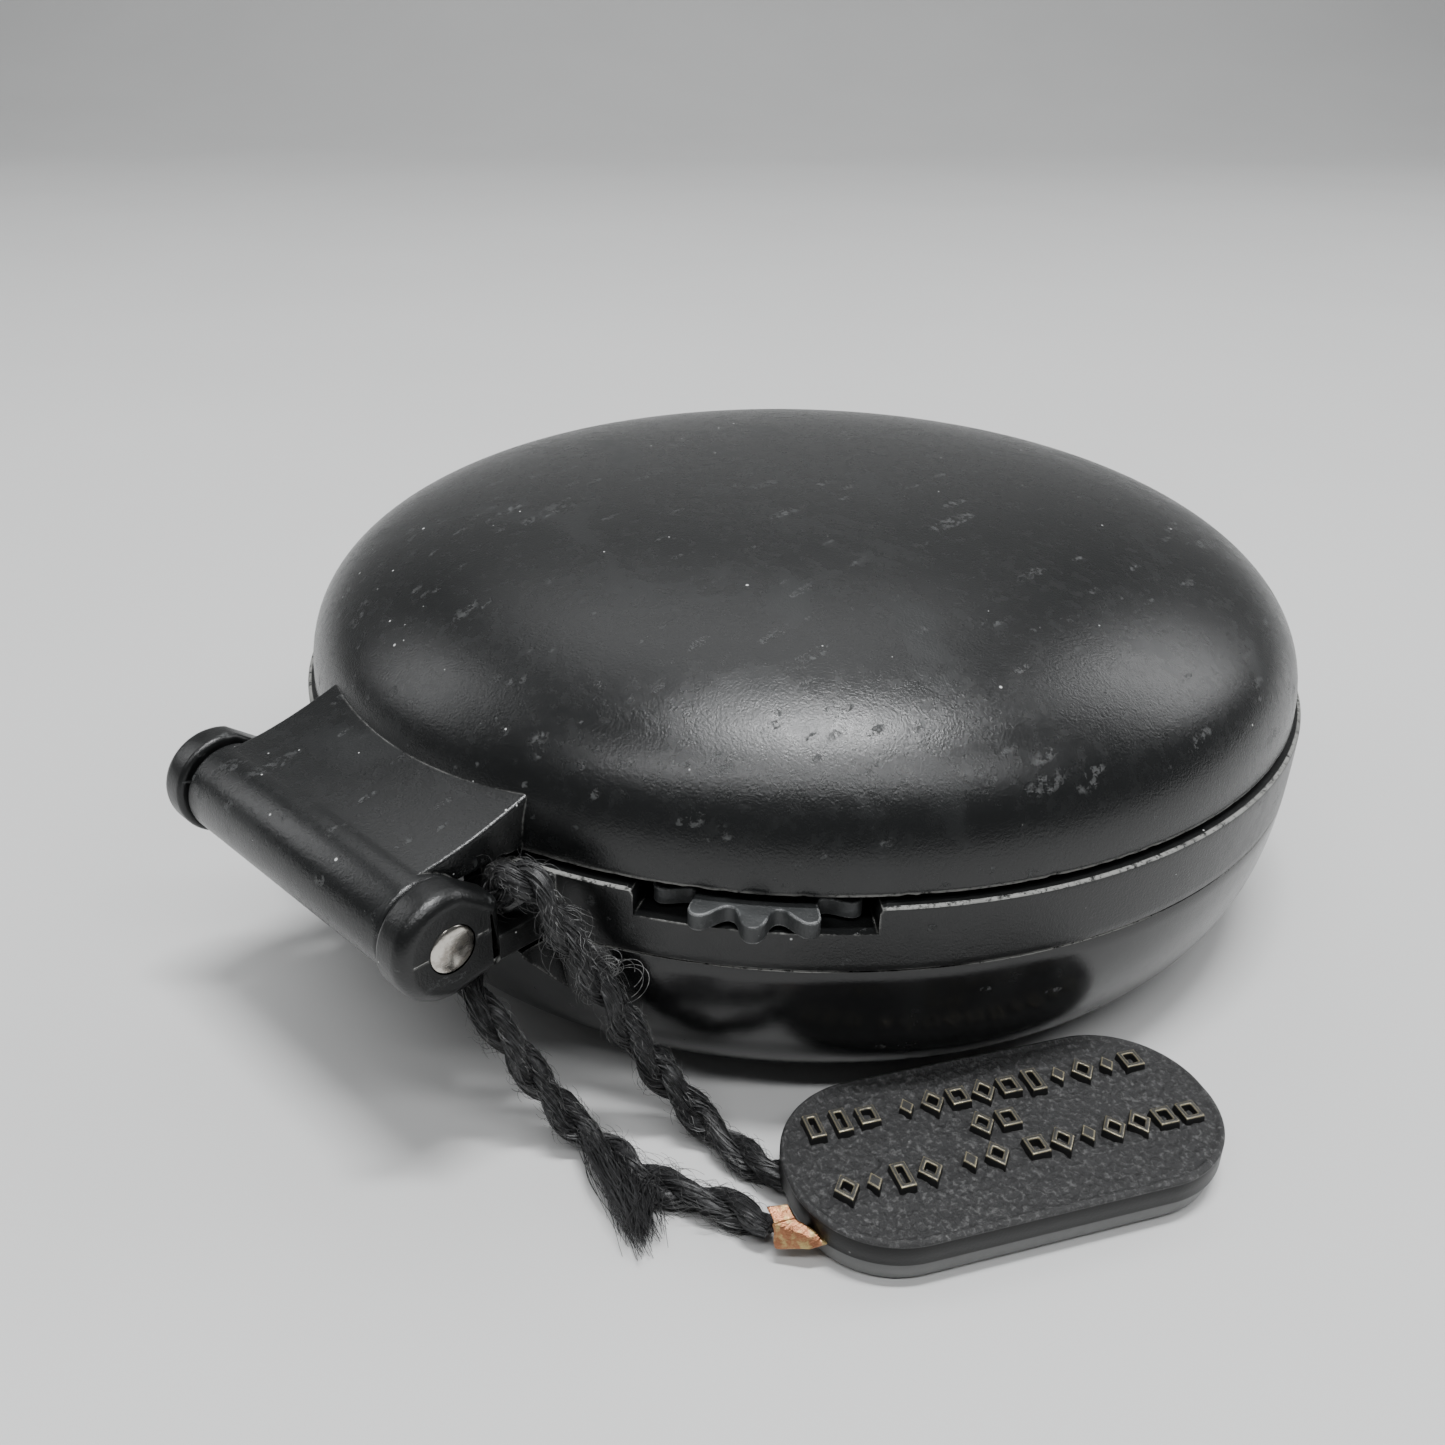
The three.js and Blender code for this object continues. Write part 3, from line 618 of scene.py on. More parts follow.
def knuckle(side):
    """A hinge knuckle: round behind, square in front, with a rounded outer rim."""
    front = HINGE_Y + KNUCKLE_R + 0.04
    arc = [(HINGE_Y + KNUCKLE_R * math.cos(a), HINGE_Z + KNUCKLE_R * math.sin(a))
           for a in (math.radians(70 + 218 * k / 40) for k in range(41))]
    square = [arc[-1], (front, HINGE_Z - 2.62, 0.3), (front, HINGE_Z + 1.4, 0.5), arc[0]]
    outline = [*arc, *rounded(square, closed=False)[1:-1]]
    inner, outer = (soft_edges(0, KNUCKLE_OUT - KNUCKLE_IN, radius, 8) for radius in (0.35, 0.85))
    shape = slab("knuckle", outline, inner[:9] + outer[9:])
    moved(shape, Matrix.Translation((KNUCKLE_IN, 0, 0)) @ SIDEWAYS)
    if side < 0:
        moved(shape, Matrix.Scale(-1, 4, (1, 0, 0)))
        shape.data.flip_normals()
    return shape


def window_cutter():
    """The thumbwheel's window: a stretch of the band taken down to the deck, its corners eased."""
    floor, ease = DECK_Z + 0.05, 0.9
    jamb = [(0, floor), (0, EDGE_Z - 0.35), (ease * 0.25, EDGE_Z - 0.1), (ease, EDGE_Z + 0.02),
            (ease, 20)]
    side = [(WINDOW[0], floor), *((WINDOW[1] + out, z) for out, z in jamb),
            *((WINDOW[0] - out, z) for out, z in reversed(jamb[1:]))]
    fine = []
    for (a, z), (b, w) in zip(side, side[1:] + side[:1]):
        pieces = max(1, round(abs(b - a) / 1.5))
        fine += [(a + (b - a) * k / pieces, z + (w - z) * k / pieces) for k in range(pieces)]
    count = len(fine)
    verts = [(*around(r, a), z) for r in (31.9, 39.0) for a, z in fine]
    faces = [tuple(reversed(range(count))), tuple(range(count, 2 * count))]
    faces += [(i, (i + 1) % count, count + (i + 1) % count, count + i) for i in range(count)]
    cutter = mesh_object("window", verts, faces)
    tidy_mesh(cutter)
    return cutter


def make_upper_case(material):
    bottom = PART_Z + SEAM
    band = [(case_r(z), z) for z in spaced(bottom + 0.06, EDGE_Z - 0.34, 8)]
    top = rounded([(case_r(EDGE_Z - 0.34), EDGE_Z - 0.34), (case_r(EDGE_Z) - 0.02, EDGE_Z, 0.32),
                   (BAND_IN + 0.3, EDGE_Z)], closed=False, steps=6)[1:-1]
    profile = [(22.5, 8), (24, 8), (24, 12.4), (31.2, 12.4), (31.2, 10.2), (32.8, 10.2), (32.8, bottom),
               (case_r(bottom) - 0.06, bottom), (case_r(bottom) - 0.02, bottom + 0.015), *band, *top,
               (BAND_IN + 0.15, EDGE_Z), (BAND_IN, EDGE_Z - 0.15), (BAND_IN, DECK_Z), (22.7, DECK_Z),
               (22.5, DECK_Z - 0.2)]
    case = lathe("upper_case_body", profile, 240)
    rear = box("rear", (-BLOCK_HALF, BLOCK_REAR, bottom), (BLOCK_HALF, -29, EDGE_Z), 0.14)
    combine(rear, cylinder("core", 34.4, 0, 30, 120), "DIFFERENCE")
    passage = box("passage", (NOTCH_X, BLOCK_REAR - 2, 0), (BLOCK_HALF + 2, NOTCH_Y, 30))
    combine(rear, passage, "DIFFERENCE")
    combine(case, rear, "UNION")
    for side in (-1, 1):
        xs = sorted((side * (KNUCKLE_IN + 0.02), side * BLOCK_HALF))
        bar_top = 13.3 if side > 0 else EDGE_Z
        bar = box("bar", (xs[0], HINGE_Y + 2, 11.75), (xs[1], -34.1, bar_top), 0.14)
        combine(case, bar, "UNION")
        combine(case, knuckle(side), "UNION")
    bore = moved(cylinder("bore", BORE_R, -20, 20, 64), ON_HINGE)
    for low, high in ((PIN_R, KNUCKLE_R - 0.85), (-KNUCKLE_R + 0.7, -PIN_R)):
        flash = (KNUCKLE_OUT - 0.1, HINGE_Y + low + 0.15, HINGE_Z + 0.03)
        ridge = box("flash", flash, (KNUCKLE_OUT + 0.05, HINGE_Y + high - 0.15, HINGE_Z + 0.11))
        combine(case, ridge, "UNION")
    combine(case, bore, "DIFFERENCE")
    combine(case, window_cutter(), "DIFFERENCE")
    return publish(case, "case", "case_plastic", material, "upper_case")


def make_hinge_pin(material):
    """The pin, with softly domed polished ends."""
    end, crown = KNUCKLE_OUT + 0.2, 0.3
    cap = [(PIN_R * math.cos(t), end - crown + crown * math.sin(t)) for t in quarter(10)[:-1]]
    profile = [(0, -end), *[(r, -z) for r, z in reversed(cap)], *cap, (0, end)]
    pin = moved(lathe("hinge_pin_steel", profile, 64), ON_HINGE)
    return publish(pin, "case", "polished_steel", material, "hinge_pin")


# ---- Lid ----


def dome_profile(inset, count, low=0.0):
    """The lid's outer curve, or one inset from it, from its rim to its top."""
    line = []
    for k in range(count + 1):
        t = math.pi / 2 * (low + (1 - low) * k / count)
        up = (DOME - inset) * math.sin(t) ** (2 / DOME_RISE)
        line.append(((RIM_R - inset) * max(0.0, math.cos(t)) ** (2 / DOME_BELLY), RIM_Z + up))
    return line


def chipped_rim(r, z, angle):
    """Small bites out of the lid's outer rim edge, most of them near the thumbwheel's window."""
    if z > RIM_Z + 0.3 or r < RIM_R - 0.5:
        return 0, 0
    degrees = math.degrees(angle) - 360 * (angle > math.pi)
    amount = 1.0 if -72 < degrees < -8 else 0.45
    spot = Vector((math.cos(angle), math.sin(angle), 0))
    bite = max(0.0, noise.noise(spot * 46) * 0.6 + noise.noise(spot * 131) * 0.5 - 0.12)
    return -0.22 * bite * amount, 0.16 * bite * amount


def make_lid(material):
    outside = [(RIM_R - 0.16, RIM_Z), (RIM_R - 0.05, RIM_Z + 0.05), (RIM_R, RIM_Z + 0.16)]
    outside += [p for p in dome_profile(0, 44, 0.012) if p[1] > RIM_Z + 0.2]
    inside = dome_profile(DOME_WALL, 22, 0.02)[::-1]
    inside[0], outside[-1] = (0, inside[0][1]), (0, outside[-1][1])
    profile = [*inside, (RIM_R - DOME_WALL, RIM_Z + 0.15), (RIM_R - DOME_WALL + 0.15, RIM_Z), *outside]
    dome = lathe("lid_shell_body", profile, 480, chipped_rim)
    y0, z0 = HINGE_Y, HINGE_Z + BARREL_R - 0.02
    root_y, root_z = LEAF_ROOT
    sag = [(y0 + (root_y - y0) * t, z0 + (root_z - z0) * t ** 1.55)
           for t in (k / 14 for k in range(15))]
    outline = [(y0, LEAF_UNDER), (root_y, LEAF_UNDER), *reversed(sag)]
    leaf = moved(slab("leaf", outline, soft_edges(-LEAF_HALF, LEAF_HALF, 0.24, 4)), SIDEWAYS)
    middle = dome_profile(DOME_WALL / 2, 22)
    middle[-1] = (0, middle[-1][1])
    core = lathe("core", [(0, RIM_Z - 1), (RIM_R - DOME_WALL / 2, RIM_Z - 1), *middle], 160)
    combine(leaf, core, "DIFFERENCE")
    ends = soft_edges(-BARREL_HALF, BARREL_HALF, 0.35)
    barrel = [(0, -BARREL_HALF), *[(BARREL_R - inset, z) for inset, z in ends], (0, BARREL_HALF)]
    combine(leaf, moved(lathe("barrel", barrel, 96), ON_HINGE), "UNION")
    bore = moved(cylinder("bore", BORE_R, -20, 20, 64), ON_HINGE)
    combine(leaf, bore, "DIFFERENCE")
    combine(dome, leaf, "UNION")
    return publish(dome, "lid", "case_plastic", material, "lid_shell")


def make_mirror(frame_material, glass_material, line_material):
    glass, ring, line = cad("lid_mirror"), cad("mirror_frame"), cad("sighting_line")
    r, z0, z1 = glass[1].x, glass[0].z, glass[1].z
    disc = rounded([(0, z0), (r, z0, 0.25), (r, z1, 0.1), (0, z1)], closed=False)
    publish(lathe("lid_mirror_glass", disc, 200), "lid", "mirror", glass_material, "lid_mirror")
    lip, rest, (low, high) = 27.6, z0 - 0.15, ring
    tray = rounded([(lip, rest, 0.1), (lip, low.z + 0.3, 0.2), (lip + 0.6, low.z, 0.3),
                    (high.x, low.z, 0.3), (high.x, high.z, 0.1), (r + 0.3, high.z), (r + 0.3, rest)])
    publish(lathe("mirror_frame_ring", tray, 200), "lid", "case_plastic", frame_material, "mirror_frame")
    stripe = box("sighting_line_print", line[0], line[1])
    publish(stripe, "lid", "dark_print", line_material, "sighting_line")


# ---- Thumbwheel and dial ----


def lobe_r(angle):
    middle = (WHEEL_TIP + WHEEL_ROOT) / 2
    wave = math.tanh(WHEEL_SHARP * math.cos(WHEEL_LOBES * angle)) / math.tanh(WHEEL_SHARP)
    return middle + (WHEEL_TIP - middle) * wave


def tooth_r(angle):
    """The dial's radius at an angle from a gap: what the rolling thumbwheel leaves standing."""
    r = DIAL_ROOT
    while r < DIAL_TIP:
        for k in range(-32, 33):
            roll = math.radians(k / 4)
            dx = r * math.cos(angle) - DIAL_AXIS * math.cos(roll)
            dy = r * math.sin(angle) - DIAL_AXIS * math.sin(roll)
            spin = (1 + DIAL_TEETH / WHEEL_LOBES) * roll
            if math.hypot(dx, dy) < lobe_r(math.atan2(dy, dx) - spin) + 0.12:
                return r
        r += 0.05
    return DIAL_TIP


def make_thumbwheel(material):
    low, high = WHEEL_BOX[0].z, WHEEL_BOX[1].z
    count = WHEEL_LOBES * 30
    outline = [lobe_r(a) * Vector((math.cos(a + WHEEL_TURN), math.sin(a + WHEEL_TURN)))
               for a in (TAU * k / count for k in range(count))]
    wheel = slab("thumbwheel_body", outline, soft_edges(low, high, 0.1, 3))
    relief = rounded([(0, high + 1), (3.4, high + 1), (3.4, high - 0.12, 0.1), (1.9, high - 0.12),
                      (0, high - 0.12)], closed=False)[::-1]
    combine(wheel, lathe("relief", relief, 64), "DIFFERENCE")
    combine(wheel, cylinder("bore", 1.2, 0, 30, 48), "DIFFERENCE")
    moved(wheel, upright(WHEEL_AT))
    return publish(wheel, "thumbwheel", "dial_plastic", material, "thumbwheel")


def make_axle(material):
    low, high = cad("thumbwheel_axle")
    root, neck, head = 0.9, 1.1, 1.9
    deck, under = DECK_Z + 0.1, high.z - 0.4
    profile = [(0, low.z), (root, low.z), (root, deck), (neck, deck), (neck, under),
               *[(head * math.cos(t), under + 0.4 * math.sin(t)) for t in quarter(8)[:-1]],
               (0, high.z)]
    axle = moved(lathe("thumbwheel_axle_rivet", profile, 48), upright(WHEEL_AT))
    return publish(axle, "case", "polished_steel", material, "thumbwheel_axle")


# The dial's bevelled face, from its outer to its inner edge: (radius, height).
BEVEL_OUT, BEVEL_IN = (23.5, 15.36), (21.7, 16.05)


def make_dial(material):
    per_tooth = 12
    half = [tooth_r(TAU / DIAL_TEETH * k / per_tooth) for k in range(per_tooth // 2 + 1)]
    rim = []
    for k in range(DIAL_TEETH * per_tooth):
        step = k % per_tooth
        r = half[min(step, per_tooth - step)]
        a = WHEEL_TURN + TAU * k / (DIAL_TEETH * per_tooth)
        rim.append((r * math.cos(a), r * math.sin(a)))
    low, high = WHEEL_BOX[0].z, WHEEL_BOX[1].z
    flange = slab("flange", rim, soft_edges(low, high, 0.07, 2))
    combine(flange, cylinder("hole", 21.8, 0, 30, 160), "DIFFERENCE")
    body = [(21.2, 6.8), (22.2, 6.8), (22.2, 7.15), (21.75, 7.15), (21.75, 7.85), (22.2, 7.85),
            (22.2, low), (22.8, low), (22.8, high), (BEVEL_OUT[0] + 0.1, high), BEVEL_OUT, BEVEL_IN,
            (21.5, BEVEL_IN[1]), (21.2, BEVEL_IN[1] - 0.12)]
    ring = lathe("azimuth_dial_ring", body, 288)
    combine(ring, flange, "UNION")
    return publish(ring, "dial", "dial_plastic", material, "azimuth_dial")


def on_bevel(r_share, angle, lift=0.03):
    """A point on the dial's bevelled face: r_share 0 at its outer edge, 1 at its inner edge."""
    r = BEVEL_OUT[0] + (BEVEL_IN[0] - BEVEL_OUT[0]) * r_share
    z = BEVEL_OUT[1] + (BEVEL_IN[1] - BEVEL_OUT[1]) * r_share + lift
    return (r * math.cos(angle), r * math.sin(angle), z)


def make_dial_marks(material):
    """A graduation every 5 degrees, and a number every 30, printed in relief on the dial's bevel."""
    verts, faces = [], []
    for k in range(72):
        angle = -TAU * k / 72 - math.pi / 2
        reach = 0.42 if k % 6 == 0 else (0.30 if k % 2 == 0 else 0.2)
        half = 0.0052 if k % 6 == 0 else 0.0032
        base = len(verts)
        for lift in (0.0, 0.04):
            verts += [on_bevel(share, angle + side * half, lift)
                      for share, side in ((0.04, -1), (0.04, 1), (reach, 1), (reach, -1))]
        faces += [tuple(base + i for i in quad) for quad in
                  ((3, 2, 1, 0), (4, 5, 6, 7), (0, 1, 5, 4), (1, 2, 6, 5), (2, 3, 7, 6), (3, 0, 4, 7))]
    ticks = mesh_object("ticks", verts, faces)
    parts = [ticks]
    for k in range(12):
        data = bpy.data.curves.new("figure", "FONT")
        data.body, data.size, data.extrude = str(30 * k), 1.05, 0.02
        data.align_x, data.align_y, data.resolution_u = "CENTER", "BOTTOM_BASELINE", 4
        text = bpy.data.objects.new("figure", data)
        bpy.context.scene.collection.objects.link(text)
        graph = bpy.context.evaluated_depsgraph_get()
        mesh = bpy.data.meshes.new_from_object(text.evaluated_get(graph))
        bpy.data.objects.remove(text)
        figure = mesh_object("figure", [], [])
        figure.data = mesh
        middle = -TAU * k / 12 - math.pi / 2
        slope = math.hypot(BEVEL_OUT[0] - BEVEL_IN[0], BEVEL_IN[1] - BEVEL_OUT[1])
        for vert in mesh.vertices:
            share = 0.5 + vert.co.y / slope
            vert.co = on_bevel(share, middle - vert.co.x / 22.4, 0.02 + vert.co.z)
        parts.append(figure)
    marks = joined("dial_marks", parts)
    return publish(marks, "dial", "luminous_mark", material)


def make_capsule(bowl_material, lens_material, plate_material, mark_paint):
    bowl, lens, plate = cad("capsule_bowl"), cad("capsule_lens"), cad("orienting_plate")
    r, low, high = bowl[1].x, bowl[0].z, bowl[1].z
    wall = rounded([(0, low), (r, low, 0.6), (r, high, 0.1), (r - 1, high, 0.1),
                    (r - 1, low + 1, 0.4), (0, low + 1)], closed=False)
    publish(lathe("capsule_bowl_moulding", wall, 200), "dial", "clear_plastic", bowl_material, "capsule_bowl")
    r, low, high = lens[1].x, lens[0].z, lens[1].z
    disc = rounded([(0, low), (r, low, 0.08), (r, high, 0.45), (0, high)], closed=False)
    publish(lathe("capsule_lens_disc", disc, 200), "dial", "clear_plastic", lens_material, "capsule_lens")
    r, low, high = plate[1].x, plate[0].z, plate[1].z
    card = rounded([(0.75, low), (r, low), (r, high - 0.15, 0.08), (0.75, high - 0.15)])
    publish(lathe("orienting_card", card, 200), "dial", "card_white", plate_material, "orienting_plate")
    arrow = [(0, -15.5, 0.1), (2.8, -9.5, 0.2), (1.1, -9.5, 0.2), (1.1, 13, 0.3), (-1.1, 13, 0.3),
             (-1.1, -9.5, 0.2), (-2.8, -9.5, 0.2)]
    shapes = [slab("arrow", rounded(arrow), [(0, high - 0.17), (0, high - 0.02), (0.06, high)])]
    for x in (-12, -9, -6, 6, 9, 12):
        reach = math.sqrt(17.5 ** 2 - x * x)
        shapes.append(box("meridian", (x - 0.12, -reach, high - 0.17), (x + 0.12, reach, high - 0.08)))
    publish(joined("orienting_marks", shapes), "dial", "needle_paint", mark_paint)


def make_needle(north, south, brass, jewel, steel):
    low, high = cad("magnetic_needle")
    z0, z1, tip, half = low.z, high.z, high.y, high.x
    halves = (("needle_north_half", 1, north), ("needle_south_half", -1, south))
    for name, sign, paint in halves:
        ring = [(1.35 * math.cos(t), sign * 1.35 * math.sin(t))
                for t in (math.pi * k / 24 for k in range(25))]
        outline = [(half, 0), (0.12, sign * tip), (-0.12, sign * tip), (-half, 0), *reversed(ring)]
        if sign < 0:
            outline.reverse()
        shape = slab(name, outline, [(0.05, z0), (0, z0 + 0.05), (0, z1 - 0.05), (0.05, z1)])
        stands_for = ["magnetic_needle"] if sign > 0 else []
        publish(shape, "needle", "needle_paint", paint, *stands_for)
    over = z1 + 0.1
    hub = rounded([(0.9, z0 - 0.5), (1.2, z0 - 0.5), (1.2, over), (2.1, over, 0.1),
                   (2.1, over + 0.4, 0.15), (1.1, over + 1.1, 0.3), (0, over + 1.1)], closed=False)
    hub = [(0, over + 0.75), (0.9, over + 0.75), *hub]
    publish(lathe("needle_hub_cap", hub, 64), "needle", "brass", brass, "needle_hub")
    stone = rounded([(0, 12.25), (0.1, 12.25), (0.5, 11.6), (0.78, 11.6, 0.05), (0.78, 12.6, 0.1),
                     (0, 12.6)], closed=False)
    publish(lathe("pivot_jewel_stone", stone, 48), "needle", "jewel", jewel, "pivot_jewel")
    point = [(0, 8.15), (0.6, 8.15), (0.6, 10.4), (0.45, 10.7), (0.12, 11.9), (0.06, 11.95), (0, 11.95)]
    publish(lathe("pivot_point", point, 48), "dial", "polished_steel", steel, "pivot_pin")


def make_bezel(material, pointer_material, screws_material):
    low, high = cad("bezel_ring")
    inner, outer = 25.45, high.x
    plate = rounded([(inner, low.z), (outer, low.z), (outer, high.z, 0.15), (inner, high.z, 0.2)])
    ring = lathe("bezel_plate", plate, 240)
    pocket = moved(cylinder("pocket", WHEEL_TIP + 0.6, 10, 20, 120), upright(WHEEL_AT))
    combine(ring, pocket, "DIFFERENCE")
    seat, brim = high.z - 0.45, high.z - 0.05
    sink = [(0, 10), (0.82, 10), (0.82, seat), (1.52, seat), (1.52, brim), (1.62, brim + 0.1),
            (1.62, 20), (0, 20)]
    for name in BEZEL_SCREWS:
        a, b = cad(name)
        combine(ring, moved(lathe("sink", sink, 48), upright((a + b) / 2)), "DIFFERENCE")
    publish(ring, "case", "case_plastic", material, "bezel_ring")
    for k, name in enumerate(BEZEL_SCREWS):
        make_screw(name, 0.3, 1.4, 0.7, 0.7 + k, screws_material)
    low, high = cad("index_mark")
    bar = rounded([(low.x, low.y, 0.15), (high.x, low.y, 0.15), (high.x, high.y - 0.9), (0, high.y, 0.1),
                   (low.x, high.y - 0.9)])
    pointer = slab("index_pointer", bar, soft_edges(low.z, high.z, 0.07, 3))
    publish(pointer, "case", "luminous_mark", pointer_material, "index_mark")


def make_screw(node, head, head_r, shank_r, turn, material):
    """A slotted screw in place of a node: a case screw from below, a bezel screw from above."""
    low, high = cad(node)
    length = high.z - low.z
    outline = [(0, 0), (head_r - 0.2, 0), (head_r, 0.12), (head_r, head), (shank_r, head),
               (shank_r, length - shank_r), (0, length)]
    screw = lathe(node + "_slotted", outline, 48)
    cut = box("cut", (-head_r - 1, -0.22, -1), (head_r + 1, 0.22, min(0.4, head * 0.7)))
    combine(screw, cut, "DIFFERENCE")
    moved(screw, Matrix.Rotation(turn, 4, "Z"))
    if node in BEZEL_SCREWS:
        moved(screw, Matrix.Translation((0, 0, length)) @ Matrix.Rotation(math.pi, 4, "X"))
    moved(screw, upright((low + high) / 2) @ Matrix.Translation((0, 0, low.z)))
    publish(screw, "case", "screw_steel", material, node)


def make_case_screws(material):
    for k, node in enumerate(CASE_SCREWS):
        make_screw(node, 1.1, 1.9, 0.95, 0.9 * (k + 1), material)


# ---- Seal tag ----


FIELD_Z, FIELD_IN, FIELD_GRAIN = FACE_BOX[1].z - 0.12, 0.42, 0.20
MARK_TOP, MARK_PITCH, MARK_STROKE = FACE_BOX[1].z + 0.36, 1.56, 0.25
# The rows of marks: across the tag, along it, and how many stand in each group.
MARK_ROWS = [(2.75, -10.0, (3, 10)), (0.5, -1.1, (2,)), (-1.75, -9.9, (4, 2, 7))]
# Half the width and length of each kind of mark.
MARK_SIZES = {"square": (0.56, 0.62), "lozenge": (0.70, 0.90), "tall": (0.44, 0.84),
              "solid": (0.42, 0.6)}
ON_TAG = Matrix.Translation((*TAG_AT, 0)) @ Matrix.Rotation(TAG_TURN, 4, "Z")


def tag_outline(per_corner=26, along=0.5):
    """The tag's rounded outline about its own centre, with points about along millimetres apart."""
    a, b = TAG_LENGTH / 2 - TAG_CORNER, TAG_WIDTH / 2 - TAG_CORNER
    line = []
    for x, y, start in ((a, b, 0), (-a, b, 90), (-a, -b, 180), (a, -b, 270)):
        line += [Vector((x, y)) + around(TAG_CORNER, start + 90 * k / per_corner)
                 for k in range(per_corner + 1)]
    fine = []
    for here, following in zip(line, line[1:] + line[:1]):
        steps = max(1, round((following - here).length / along))
        fine += [here.lerp(following, k / steps) for k in range(steps)]
    return fine


def make_tag(face_material, base_material, marks_material):
    low, high = FACE_BOX[0].z, FACE_BOX[1].z
    foot = BASE_BOX[0].z
    flare = [(0.75, foot), (0.5, foot + 0.12), (0.36, foot + 0.35), (0.3, foot + 0.6), (0.3, low),
             (0.5, low)]
    base = slab("tag_base_moulding", tag_outline(), flare)
    publish(moved(base, ON_TAG), "case", "tag_grey", base_material, "tag_base")
    rim = [(0.28 * (1 - math.cos(t)), high - 0.22 + 0.22 * math.sin(t)) for t in quarter(6)]
    field = [(FIELD_IN + 0.13 * k, FIELD_Z) for k in range(37)]
    shape = slab("tag_face_moulding", tag_outline(44, 0.14),
                 [(0.1, low), (0, low + 0.1), *rim, *field])
    for vert in shape.data.vertices:
        edge = min(1.0, max(0.0, (rim_distance(vert.co) - FIELD_IN) / 0.2))
        if abs(vert.co.z - FIELD_Z) < 0.01 and edge > 0:
            rough = noise.noise(vert.co * 2.1) * 0.5 + noise.noise(vert.co * 4.3) * 0.5
            vert.co.z += edge * FIELD_GRAIN * rough
    publish(moved(shape, ON_TAG), "case", "tag_black", face_material, "tag_face", sharp=60)
    marks = raised_marks(FIELD_Z - 0.1, MARK_TOP)
    publish(moved(marks, ON_TAG), "case", "tag_black", marks_material)


def rim_distance(point):
    """How far inside the tag's outline a point about its own centre is."""
    a, b = TAG_LENGTH / 2 - TAG_CORNER, TAG_WIDTH / 2 - TAG_CORNER
    dx, dy = max(0.0, abs(point.x) - a), max(0.0, abs(point.y) - b)
    return TAG_CORNER - math.hypot(dx, dy)


def raised_marks(z0, z1):
    """Rows of plain raised marks in place of any wording: squares, lozenges and tall boxes."""
    pick, shapes = random.Random(5), []
    for v, u, groups in MARK_ROWS:
        for group in groups:
            for _ in range(group):
                shapes.append(one_mark(pick.choice(list(MARK_SIZES)), u, v, z0, z1))
                u += MARK_PITCH
            u += 0.75
    return joined("tag_raised_marks", shapes)


def one_mark(kind, u, v, z0, z1):
    """A hollow square, lozenge or tall box, or a solid lozenge, drawn with strokes of one width."""
    w, h = MARK_SIZES[kind]

    def outline(inset):
        if kind in ("lozenge", "solid"):
            share = 1 - inset * math.hypot(w, h) / (w * h)
            corners = [(0, -h * share), (w * share, 0), (0, h * share), (-w * share, 0)]
        else:
            a, b = w - inset, h - inset
            corners = [(-a, -b), (a, -b), (a, b), (-a, b)]
        return rounded([(u + a, v + b, 0.04) for a, b in corners], steps=3)

    outside = [(-0.06, z0), (0, z1 - 0.07), (0.02, z1 - 0.02), (0.05, z1)]
    if kind == "solid":
        return slab("mark", outline(0), outside)
    levels = outside + [(MARK_STROKE - inset, z) for inset, z in reversed(outside)]
    verts = [(*point, z) for inset, z in levels for point in outline(inset)]
    count, faces = len(outline(0)), []
    for k in range(len(levels)):
        low, high = k * count, (k + 1) % len(levels) * count
        faces += [(low + i, low + (i + 1) % count, high + (i + 1) % count, high + i)
                  for i in range(count)]
    return mesh_object("mark", verts, faces)


def make_crimp(material):
    """Copper folded round the yarn: a short flap on top, and a leaf that tapers into the tag."""
    low, high = cad("tag_crimp")
    top, foot = high.z - 0.15, low.z
    flap = [(27.95, -33.35, top + 0.05), (28.65, -32.5, top + 0.1), (29.35, -32.7, top - 0.15),
            (28.85, -33.6, top - 0.2)]
    leaf = [(28.7, -33.65, top - 0.25), (29.4, -32.7, top - 0.2), (31.1, -32.3, foot + 0.75),
            (30.7, -32.9, foot + 0.45), (29.15, -33.95, foot)]
    back = [(28.9, -32.9, foot), (29.6, -32.1, foot + 0.6), (31.3, -31.9, foot + 0.6)]
    under = [(x + 0.15, y + 0.15, z - 0.3) for x, y, z in flap]
    crimp = joined("tag_crimp_copper", [crumpled(flap + under), crumpled(leaf + back)])
    return publish(crimp, "case", "copper", material, "tag_crimp", sharp=28)


def crumpled(points):
    """The hull of some points, with its edges eased and its faces a little dented."""
    work = bmesh.new()
    for point in points:
        work.verts.new(point)
    bmesh.ops.convex_hull(work, input=work.verts)
    bmesh.ops.delete(work, geom=[v for v in work.verts if not v.link_faces], context="VERTS")
    bmesh.ops.dissolve_limit(work, angle_limit=math.radians(6), verts=work.verts, edges=work.edges)
    bmesh.ops.bevel(work, geom=work.edges[:], offset=0.07, segments=2, profile=0.6, affect="EDGES")
    bmesh.ops.triangulate(work, faces=work.faces)
    bmesh.ops.subdivide_edges(work, edges=work.edges[:], cuts=3, use_grid_fill=True)
    for vert in work.verts:
        vert.co += Vector((1, 1, 1)) * 0.05 * noise.noise(vert.co * 2.3)
    shape = mesh_object("crumpled", [], [])
    work.to_mesh(shape.data)
    work.free()
    return shape


# ---- Yarn ----


